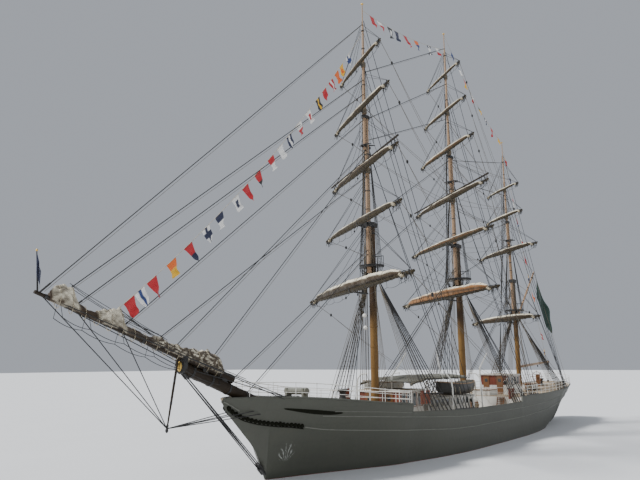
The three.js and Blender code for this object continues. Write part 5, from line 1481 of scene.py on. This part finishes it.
def make_boat(side, label, paints):
    """A carvel boat: each section is a rounded V, with strakes, gunwale, cover and lashings."""
    share = np.linspace(-1, 1, 49)[:, None]
    full = np.maximum(0.05, np.sqrt(np.maximum(0, 1 - np.abs(share) ** 2.6)))
    half = BOAT.beam / 2 * full
    sheer = BOAT.depth + 0.22 * share**2
    low = 0.6 * np.maximum(0, np.abs(share) - 0.4) ** 2
    turn = np.linspace(-math.pi / 2, math.pi / 2, 21)
    strake = 1 + 0.012 * np.abs(np.sin(np.linspace(0, 9 * math.pi, 21)))
    y = half * np.sign(np.sin(turn)) * np.abs(np.sin(turn)) ** 0.8 * strake
    z = SKID_TOP + low + (sheer - low) * (1 - np.abs(np.cos(turn)) ** 0.75)
    cross = np.linspace(1, -1, 11)[1:-1]
    cover = half * cross, SKID_TOP + sheer + 0.13 * full * (1 - cross**2)
    x = BOAT.x + share * BOAT.length / 2
    middle = BOAT.y * side
    surface = Surface()
    ring = xyz(x, middle + np.hstack([y, cover[0]]), np.hstack([z, cover[1]]))
    surface.grids(ring[None], np.tile(np.repeat([0, 1], [20, 10]), 48))

    def along(edge, out, up, radius, sides, kind):
        surface.tubes(xyz(x[:, 0], middle + y[:, edge] * out, z[:, edge] + up), radius, sides, kind)

    for edge in (0, 20):
        along(edge, 1.02, 0.02, 0.05, 7, 2)
    for edge in (3, 17, 6, 14, 9, 11):
        along(edge, 1.005, 0, 0.014, 5, 0)
    along(10, 0, 0.01, 0.03, 6, 2)
    lash = np.linspace(0, math.pi, 13)
    for x in (BOAT.x - 1.2, BOAT.x + 1.2, BOAT.x - 2.1, BOAT.x + 2.1):
        path = xyz(x, middle + 0.97 * np.cos(lash), SKID_TOP + 0.1 + 1.05 * np.sin(lash) ** 0.6)
        surface.tubes(path, 0.02, 4, 3)
    surface.build(f"{label}_boat", paints, "boat_paint")


def make_deck_gear():
    """Hatches, skylights, ventilators, bollards, capstans, chains, davits, ladders and light derricks."""
    surface = Surface()
    for aft, fore, half, deck, high in ((-10.8, -10.2, 0.9, MAIN_DECK, 0.6), (-15.9, -13.6, 1.0, 3.9, 0.55),
                                        (-24.2, -22.6, 0.8, 3.9, 0.7), (9.0, 10.0, 0.9, MAIN_DECK, 0.5),
                                        (-30.0, -28.2, 0.8, 4.1, 0.6)):
        top = deck + high
        surface.boxes([aft, -half, deck], [fore, half, top])
        surface.boxes([aft - 0.06, -half - 0.06, top], [fore + 0.06, half + 0.06, top + 0.07], 1)
        bars = np.linspace(aft + 0.15, fore - 0.15, 5)
        surface.boxes(xyz(bars - 0.03, -half, top + 0.07), xyz(bars + 0.03, half, top + 0.1))
    for spot in ([-13.5, 4.6, 3.85], [-34.0, 2.9, 4.4], [-8.0, 4.7, 2.45], [8.6, 4.5, 2.45]):
        pair = both(np.array([[-0.25, 0, 0], [0.25, 0, 0]]) + spot)
        surface.rods(pair, pair + [0, 0, 0.5], 0.11, 12, 2)
        surface.eggs(pair + [0, 0, 0.5], (0.14, 0.14, 0.06), 2, 12, 6)
    t = np.linspace(0, 1, 9)
    for x, y, z in ((9.6, 1.6, 2.45), (-6.9, 2.1, 2.45), (-16.4, 1.9, 3.87)):
        path = both(xyz(x + 0.32 * t**3, y, z + 1.35 * (1 - (1 - t) ** 2)))
        surface.tubes(path, 0.13 + 0.12 * t**4, 14, 3)
        surface.eggs(path[:, -1] + [0.1, 0, -0.03], (0.05, 0.2, 0.2), 2, 14, 8)
    for x, z in ((12.6, 4.5), (-33.6, 4.35)):
        barrel = xyz(x, 0, z + np.array([0.0, 0.1, 0.35, 0.7, 0.8, 0.95]))
        surface.tubes(barrel, np.array([0.42, 0.36, 0.24, 0.26, 0.4, 0.38]), 20, 2)
    link = np.arange(60)
    chain = xyz(np.linspace(18.5, 22.6, 60), 0.45, np.linspace(5.15, 5.25, 60))
    for one in both(chain)[::-1]:
        surface.rings(one, xyz(0, link % 2, (link + 1) % 2), 0.055, 0.016, 2, 8)
    for path, radius in (([[5.7, 0.3, 6.3], [4.1, 0.2, 7.3], [2.6, 0, 8.29]], [0.07, 0.08, 0.05]),
                         ([[5.7, 0.3, 5.0], [5.7, 0.3, 6.4]], 0.08),
                         ([[-13.2, 0.2, 6.82], [-14.6, 0.1, 7.7], [-15.9, 0, 8.48]], [0.07, 0.08, 0.05]),
                         ([[-13.2, 0.2, 3.9], [-13.2, 0.2, 6.9]], 0.08)):
        surface.tubes(path, radius, 10, 3)
    for x in (-2.6, 3.4):
        surface.tubes(both(xyz(x, [4.86, 4.86, 4.75, 4.4, 3.74], [2.5, 5.3, 6.0, 6.4, 6.45])), 0.06, 10, 3)
        surface.rods(both([x, 3.76, 6.42]), both([x * 0.9, 3.76, 5.75]), 0.02, 5, 2)
    share = np.linspace(0.12, 0.95, 7)
    for x, high, lean in ((10.4, 4.3, -0.6), (-11.85, QUARTERDECK, 0.6)):
        rails = both(xyz(x, [2.6, 3.3], high))
        surface.rods(rails * [1, 1, 0] + [lean, 0, MAIN_DECK], rails, 0.045, 6, 1)
        spots = both(xyz(x + lean * (1 - share), 2.95, MAIN_DECK + (high - MAIN_DECK) * share))
        surface.boxes(spots - [0.12, 0.33, 0.02], spots + [0.12, 0.33, 0.02], 1)
    for x, z in ((5.9, 4.65), (-12.9, 4.2)):
        for low, high in ((3.98, 4.04), (-4.04, -3.98)):
            surface.boxes(xyz([x, x + 0.9], low, z - 0.5), xyz([x + 0.62, x + 1.52], high, z + 0.55), 4)
    surface.build("deck_gear", "white wood iron white panel", "white_paint", angle=35)


# After spars


def make_after_spars():
    """Spanker boom and gaff with their bands, jaws and blocks."""
    for name, spar, lift in (("boom", BOOM, 0.0), ("gaff", GAFF, 0.18)):
        t = np.linspace(0, 1, 22)
        path = xyz(SPANKER_PIVOT - 0.2 - (spar.length - 0.2) * t, 0, spar.z + lift + (spar.rise - lift) * t)
        pivot = np.array([SPANKER_PIVOT, 0, spar.z])
        surface = Surface()
        surface.tubes(path, spar.radius * (0.9 + 0.2 * np.sin(math.pi * t) - 0.3 * t), 16)
        for mark in (2, 7, 13, 18, 20):
            surface.rods(path[mark], path[mark] * 0.8 + path[mark + 1] * 0.2, spar.radius * 1.04, 16, 1)
        surface.rods(pivot - [0, 0, 0.14], pivot + [0, 0, 0.14], 0.12, 14, 1)
        surface.rods(pivot, path[0], 0.09, 8, 1)
        surface.eggs([path[12] - [0, 0, 0.3], path[19] - [0, 0, 0.25]], (0.12, 0.08, 0.15), 1)
        surface.build(f"spanker_{name}", "pole iron", "spar_wood", f"{name}_body")


def outer_end(spar):
    """The outer end of boom or gaff, amidships."""
    return np.array([SPANKER_PIVOT - spar.length, 0, spar.z + spar.rise])


def make_after_rigging():
    """Topping lifts, peak halyards, vangs and the boom's sheet."""
    mizzen, line = MASTS["mizzen"], sizes().line
    peak, end = outer_end(GAFF), outer_end(BOOM)

    def ropes(name, starts, ends, sag, steps, radius, body, fixed, moving, blocks=()):
        surface = Surface()
        surface.tubes(hanging(starts, ends, sag, steps), radius, 4)
        for block in blocks:
            surface.eggs(block, (0.14, 0.16, 0.16), 1)
        piece = surface.build(name, "rope iron" if blocks else "rope", "cordage", None)
        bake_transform(piece)

    tops = np.array([[mizzen.x + 0.2, 0, mizzen.cap], [mizzen.x + 0.5, 0, mizzen.trees - 0.5]])
    ropes("gaff_halyards", tops, [peak + [3.4, 0, -2.95], peak + [0.2, 0, 0.05]], 0.0, 12, line * 1.2,
          "gaff_body", tops[0], peak + [3.2, 0, -2.9])
    ropes("gaff_vangs", both([-33.0, 3.7, 4.6]), peak - [0, 0, 0.1], 0.15, 16, line,
          "gaff_body", np.array([peak[0], 0, 4.8]), peak)
    head = np.array([mizzen.x, 0.35, mizzen.top])
    ropes("boom_lifts", both(head), both(end + [0.3, 0.12, 0.1]), 0.0, 14, line * 1.2,
          "boom_body", head * [1, 0, 1], end)
    foot = np.array([-36.6, 0, 4.75])
    shift = xyz(0, [-0.12, 0.0, 0.12], 0)
    ropes("boom_sheet", foot + shift, end + [0.5, 0, -0.15] + shift, 0.0, 6, line,
          "boom_body", foot, end - [0, 0, 0.2], (foot + [0, 0, 0.15], end + [0.5, 0, -0.3]))


# Flags

RED, WHITE, BLUE, YELLOW = (0.46, 0.004, 0.012), (0.80, 0.79, 0.76), (0.01, 0.035, 0.16), (0.74, 0.42, 0.01)
NAVY, ORANGE = (0.008, 0.014, 0.05), (0.75, 0.13, 0.008)
BLACK, GREEN = (0.01, 0.01, 0.011), (0.006, 0.085, 0.035)
ENSIGN_GREEN = (0.003, 0.035, 0.024)

# Dressing lines: where they start and end, how far they sag, and each flag's place, pattern and colours.
DRESSING = {
    "bow_flags": ((33.4, 0, 10.15), (8.6, 0, 37.5), 1.65, [
        (0.034, "plain", RED, RED), (0.06, "stripes", WHITE, BLUE), (0.092, "pennant", RED, RED),
        (0.146, "halves", ORANGE, YELLOW), (0.195, "pennant", RED, NAVY), (0.251, "cross", WHITE, NAVY),
        (0.295, "halves", NAVY, WHITE), (0.351, "square", WHITE, NAVY), (0.389, "pennant", RED, RED),
        (0.438, "pennant", RED, BLACK), (0.492, "halves", RED, WHITE), (0.531, "plain", WHITE, WHITE),
        (0.574, "stripes", NAVY, WHITE), (0.621, "halves", WHITE, RED), (0.665, "square", WHITE, RED),
        (0.717, "stripes", BLACK, YELLOW), (0.754, "plain", RED, RED), (0.79, "stripes", RED, WHITE),
        (0.824, "plain", ORANGE, ORANGE), (0.854, "square", YELLOW, ORANGE), (0.893, "cross", WHITE, BLUE)]),
    "main_flags": ((8.7, 0, 39.6), (-8.5, 0, 42.85), 0.6, [
        (0.093, "plain", RED, RED), (0.172, "halves", WHITE, RED), (0.284, "square", BLACK, WHITE),
        (0.359, "plain", NAVY, NAVY), (0.459, "pennant", RED, RED), (0.6, "halves", ORANGE, BLUE),
        (0.77, "cross", NAVY, WHITE), (0.88, "halves", WHITE, RED)]),
    "mizzen_flags": ((-8.5, 0, 44.8), (-24.8, 0, 36.2), 1.2, [
        (0.12, "plain", BLUE, BLUE), (0.23, "halves", BLUE, WHITE), (0.33, "halves", RED, YELLOW),
        (0.45, "pennant", WHITE, RED), (0.56, "halves", GREEN, YELLOW), (0.68, "stripes", NAVY, WHITE),
        (0.8, "pennant", RED, RED), (0.92, "plain", YELLOW, YELLOW)]),
    "stern_flags": ((-24.8, 0, 36.2), (-37.4, 0, 6.0), 1.0, [
        (0.06, "halves", YELLOW, RED), (0.14, "stripes", BLUE, WHITE), (0.22, "halves", RED, WHITE),
        (0.3, "pennant", RED, BLUE), (0.38, "square", WHITE, RED), (0.46, "plain", RED, RED),
        (0.54, "halves", YELLOW, NAVY), (0.62, "plain", ORANGE, ORANGE), (0.8, "stripes", RED, WHITE),
        (0.88, "cross", BLUE, YELLOW)]),
}
FLAG_STEPS = 15


def pattern(kind, first, second, u, v):
    """Colour over a flag from its fly share u and hoist share v."""
    masks = {
        "plain": u < 2, "pennant": u < 0.55, "halves": u < 0.5,
        "stripes": (v < 0.34) | (v > 0.66),
        "cross": (np.abs(u - 0.5) > 0.16) & (np.abs(v - 0.5) > 0.16),
        "square": (np.abs(u - 0.5) > 0.24) | (np.abs(v - 0.5) > 0.24),
    }
    return np.where(masks[kind][..., None], first, second)


def add_flag(surface, hoist, along, fly, length, narrow, seed, kind, first, second):
    """A flag: it starts at its hoist and flies off it, with waves that grow to the fly. Returns its area."""
    u, v = np.meshgrid(np.linspace(0, 1, FLAG_STEPS), np.linspace(0, 1, FLAG_STEPS - 4), indexing="ij")
    across = unit(np.cross(fly, along))
    reach = np.linalg.norm(along)
    spread = 1 - (1 - v) * (1 - narrow * u)
    wave = 0.11 * reach * u**0.7 * np.sin(6.5 * u + 2.2 * v + seed)
    wave = wave + 0.05 * reach * u * np.sin(13 * u - 3 * v + seed)
    points = hoist + along * spread[..., None] + fly * (length * u)[..., None] + across * wave[..., None]
    surface.grids(points[None], 0, pattern(kind, first, second, u, v)[None], sheet=True)
    return cloth_area(points)


def cloth_area(points):
    """Area of a grid in square metres of the model: half the cross product of each face's diagonals."""
    first, second = points[1:, 1:] - points[:-1, :-1], points[1:, :-1] - points[:-1, 1:]
    return float(np.linalg.norm(np.cross(first, second), axis=-1).sum() / 2) * MODEL**2


def make_dressing():
    """Signal flags on lines from the bow over the trucks to the stern."""
    hoist = sizes().flag
    for seed, (name, (start, end, sag, flags)) in enumerate(DRESSING.items()):
        line = hanging(start, end, sag, 60)[0]
        surface = Surface()
        area = 0.0
        for number, (share, *look) in enumerate(flags):
            low, part = divmod(share * 59, 1)
            first, second = line[int(low)], line[int(low) + 1]
            along = unit(second - first)
            along = along * hoist * (1 if along[2] > 0 else -1)
            spot = first + (second - first) * part
            fly = unit(np.array([-0.22, 0.16 + 0.14 * math.sin(1.9 * number), -0.95]))
            narrow, length = (0.9, 1.5) if look[0] == "pennant" else (0.45, 1.2)
            area += add_flag(surface, spot - along / 2, along, fly, hoist * length, narrow,
                             1.7 * number + seed, *look)
        cloth = surface.build(name, "bunting", "signal_bunting", shell=0.002, angle=70)
        rope = Surface()
        rope.tubes(line, 0.014, 4)
        cord = rope.build(f"{name}_line", "pale", "cordage")


def make_colours():
    """The ensign below the gaff's peak, the jack at the bow and a white pennant amidships."""
    for name, body, foot, along, fly, length, narrow, colour, rests_on in (
            ("ensign", "gaff_body", outer_end(GAFF) + [-0.3, 0.05, -3.6], (-0.35, 0.06, 2.6),
             (-0.34, 0.16, -0.92), 5.6, 0.1, ENSIGN_GREEN, "spanker_gaff"),
            ("jack", "ship", (37.9, 0.02, 11.75), (0.05, 0, 1.0), (-0.2, 0.14, -0.9), 0.95, 0.1, NAVY,
             "head_rigging"),
            ("house_pennant", "ship", (2.2, 3.0, 7.2), (0.35, 0, 1.3), (-0.28, 0.1, -0.95), 2.6, 0.75, WHITE,
             "head_rigging")):
        surface = Surface()
        along, fly = np.array(along), unit(np.array(fly))
        area = add_flag(surface, foot, along, fly, length, narrow, 0.6, "plain", colour, colour)
        cloth = surface.build(name, "bunting", "signal_bunting", body, shell=0.003, angle=70)


# CAD pieces that stay


def finish_nodes():
    """Materials for the pieces whose solids are already right."""
    for node, paint in (("boat_skids", "white"), ("windlass", "moulding"), ("steering_stand", "wood"),
                        ("rudder", "hull"), ("propeller", "bronze"), ("steering_wheel", "wood")):
        slots = bpy.data.objects[node].data.materials
        slots.clear()
        slots.append(PAINTS[paint])


# Stage


def make_camera():
    """Camera at the photograph's place and angle."""
    yaw, pitch, roll = (math.radians(one) for one in (CAMERA.yaw, CAMERA.pitch, CAMERA.roll))
    forward = np.array([math.cos(yaw) * math.cos(pitch), math.sin(yaw) * math.cos(pitch), math.sin(pitch)])
    right = np.array([math.sin(yaw), -math.cos(yaw), 0.0])
    up = np.cross(right, forward)
    level_right = math.cos(roll) * right + math.sin(roll) * up
    level_up = -math.sin(roll) * right + math.cos(roll) * up
    data = bpy.data.cameras.new("Camera")
    data.sensor_width = 36.0
    data.lens = FOCAL_PIXELS / PHOTO_WIDTH * data.sensor_width
    data.clip_end = 500.0
    camera = bpy.data.objects.new("Camera", data)
    camera.matrix_world = Matrix.Translation(CAMERA.place) @ axes_matrix(level_right, level_up, -forward)
    bpy.context.scene.collection.objects.link(camera)
    bpy.context.scene.camera = camera


def axes_matrix(*axes):
    """The turn whose columns are three axes."""
    return Matrix(np.stack(axes, axis=1).tolist()).to_4x4()


def make_lights():
    """A soft key from ahead and to starboard, the camera's left, a weak fill and a pale surround."""
    for name, place, strength, angle in (("Key", (0.46, -0.50, 0.73), 5.0, 14),
                                         ("Fill", (0.2, 0.9, 0.4), 0.6, 60)):
        data = bpy.data.lights.new(name, "SUN")
        data.energy = strength
        data.angle = math.radians(angle)
        lamp = bpy.data.objects.new(name, data)
        back = unit(np.array(place))
        side = unit(np.cross([0, 0, 1.0], back))
        lamp.matrix_world = axes_matrix(side, np.cross(back, side), back)
        bpy.context.scene.collection.objects.link(lamp)
    world = bpy.data.worlds.new("Studio")
    world.use_nodes = True
    background = world.node_tree.nodes["Background"]
    background.inputs["Color"].default_value = (0.78, 0.83, 0.92, 1.0)
    background.inputs["Strength"].default_value = 0.5
    bpy.context.scene.world = world


def make_stage_floor():
    """A wide square at the waterline."""
    mesh = bpy.data.meshes.new("floor")
    mesh.from_pydata([(-300, -300, 0), (300, -300, 0), (300, 300, 0), (-300, 300, 0)], [], [(0, 1, 2, 3)])
    mesh.materials.append(make_floor())
    floor = bpy.data.objects.new("floor", mesh)
    bpy.context.scene.collection.objects.link(floor)


# Operators


def done(*steps):
    """Runs an operator's steps in order."""
    for step in steps:
        step()
    return {"FINISHED"}


class SHIP_OT_stage(Operator):
    """Camera, lights, floor and materials"""

    bl_idname = "ship.stage"
    bl_label = "Stage"

    def execute(self, context):
        return done(make_camera, make_lights, make_stage_floor, make_materials)


class SHIP_OT_hull(Operator):
    """Hull with its mouldings, carving and rails"""

    bl_idname = "ship.hull"
    bl_label = "Hull"

    def execute(self, context):
        return done(make_hull, make_mouldings, make_trailboards, make_bow_slot_shadows, make_rails)


class SHIP_OT_masts(Operator):
    """Masts, tops, crosstrees and pin rails"""

    bl_idname = "ship.masts"
    bl_label = "Masts"

    def execute(self, context):
        for mast in MASTS.values():
            make_mast(mast)
        return done(make_mast_fittings)


class SHIP_OT_yards(Operator):
    """Yards with their furled sails, lifts and braces"""

    bl_idname = "ship.yards"
    bl_label = "Yards and sails"

    def execute(self, context):
        for yard in YARDS.values():
            for make in (make_yard, make_sail, make_lifts, make_braces):
                make(yard)
        return {"FINISHED"}


class SHIP_OT_rigging(Operator):
    """Shrouds, backstays, stays and falls"""

    bl_idname = "ship.rigging"
    bl_label = "Standing rigging"

    def execute(self, context):
        for mast in MASTS.values():
            for side, label in SIDES:
                make_shrouds(mast, side, label)
        return done(make_stays, make_falls)


class SHIP_OT_headgear(Operator):
    """Bowsprit, dolphin striker, head rigging and furled jibs"""

    bl_idname = "ship.headgear"
    bl_label = "Headgear"

    def execute(self, context):
        return done(make_bowsprit, make_striker, make_head_rigging, make_jibs)


class SHIP_OT_deck(Operator):
    """Deckhouses, awning, boats and deck gear"""

    bl_idname = "ship.deck"
    bl_label = "Deck"

    def execute(self, context):
        done(make_houses, make_awning)
        make_boat(1, "port", "boat cover rail_wood pale")
        make_boat(-1, "starboard", "white canvas rail_wood pale")
        return done(make_deck_gear, finish_nodes)


class SHIP_OT_after(Operator):
    """Spanker boom and gaff with their rigging"""

    bl_idname = "ship.after"
    bl_label = "After spars"

    def execute(self, context):
        return done(make_after_spars, make_after_rigging)


class SHIP_OT_flags(Operator):
    """Dressing lines, ensign, jack and pennant"""

    bl_idname = "ship.flags"
    bl_label = "Flags"

    def execute(self, context):
        return done(make_dressing, make_colours)


OPERATORS = (SHIP_OT_stage, SHIP_OT_hull, SHIP_OT_masts, SHIP_OT_yards, SHIP_OT_rigging, SHIP_OT_headgear,
             SHIP_OT_deck, SHIP_OT_after, SHIP_OT_flags)


class SHIP_PT_panel(Panel):
    """Lists the ship's parts"""

    bl_idname = "SHIP_PT_panel"
    bl_label = "Ship"
    bl_space_type = "VIEW_3D"
    bl_region_type = "UI"
    bl_category = "Ship"

    def draw(self, context):
        for one in OPERATORS:
            self.layout.operator(one.bl_idname)
        for group in (context.scene.ship_sizes, context.scene.ship_colours):
            for name in group.__annotations__:
                self.layout.prop(group, name)


CLASSES = (ShipSizes, ShipColours, *OPERATORS, SHIP_PT_panel)


def register():
    for one in CLASSES:
        bpy.utils.register_class(one)
    bpy.types.Scene.ship_sizes = PointerProperty(type=ShipSizes)
    bpy.types.Scene.ship_colours = PointerProperty(type=ShipColours)


def unregister():
    del bpy.types.Scene.ship_colours
    del bpy.types.Scene.ship_sizes
    for one in reversed(CLASSES):
        bpy.utils.unregister_class(one)


def main():
    register()
    ship = bpy.ops.ship
    for run in (ship.stage, ship.hull, ship.masts, ship.yards, ship.rigging, ship.headgear, ship.deck,
                ship.after, ship.flags):
        run()


if __name__ == "__main__":
    main()
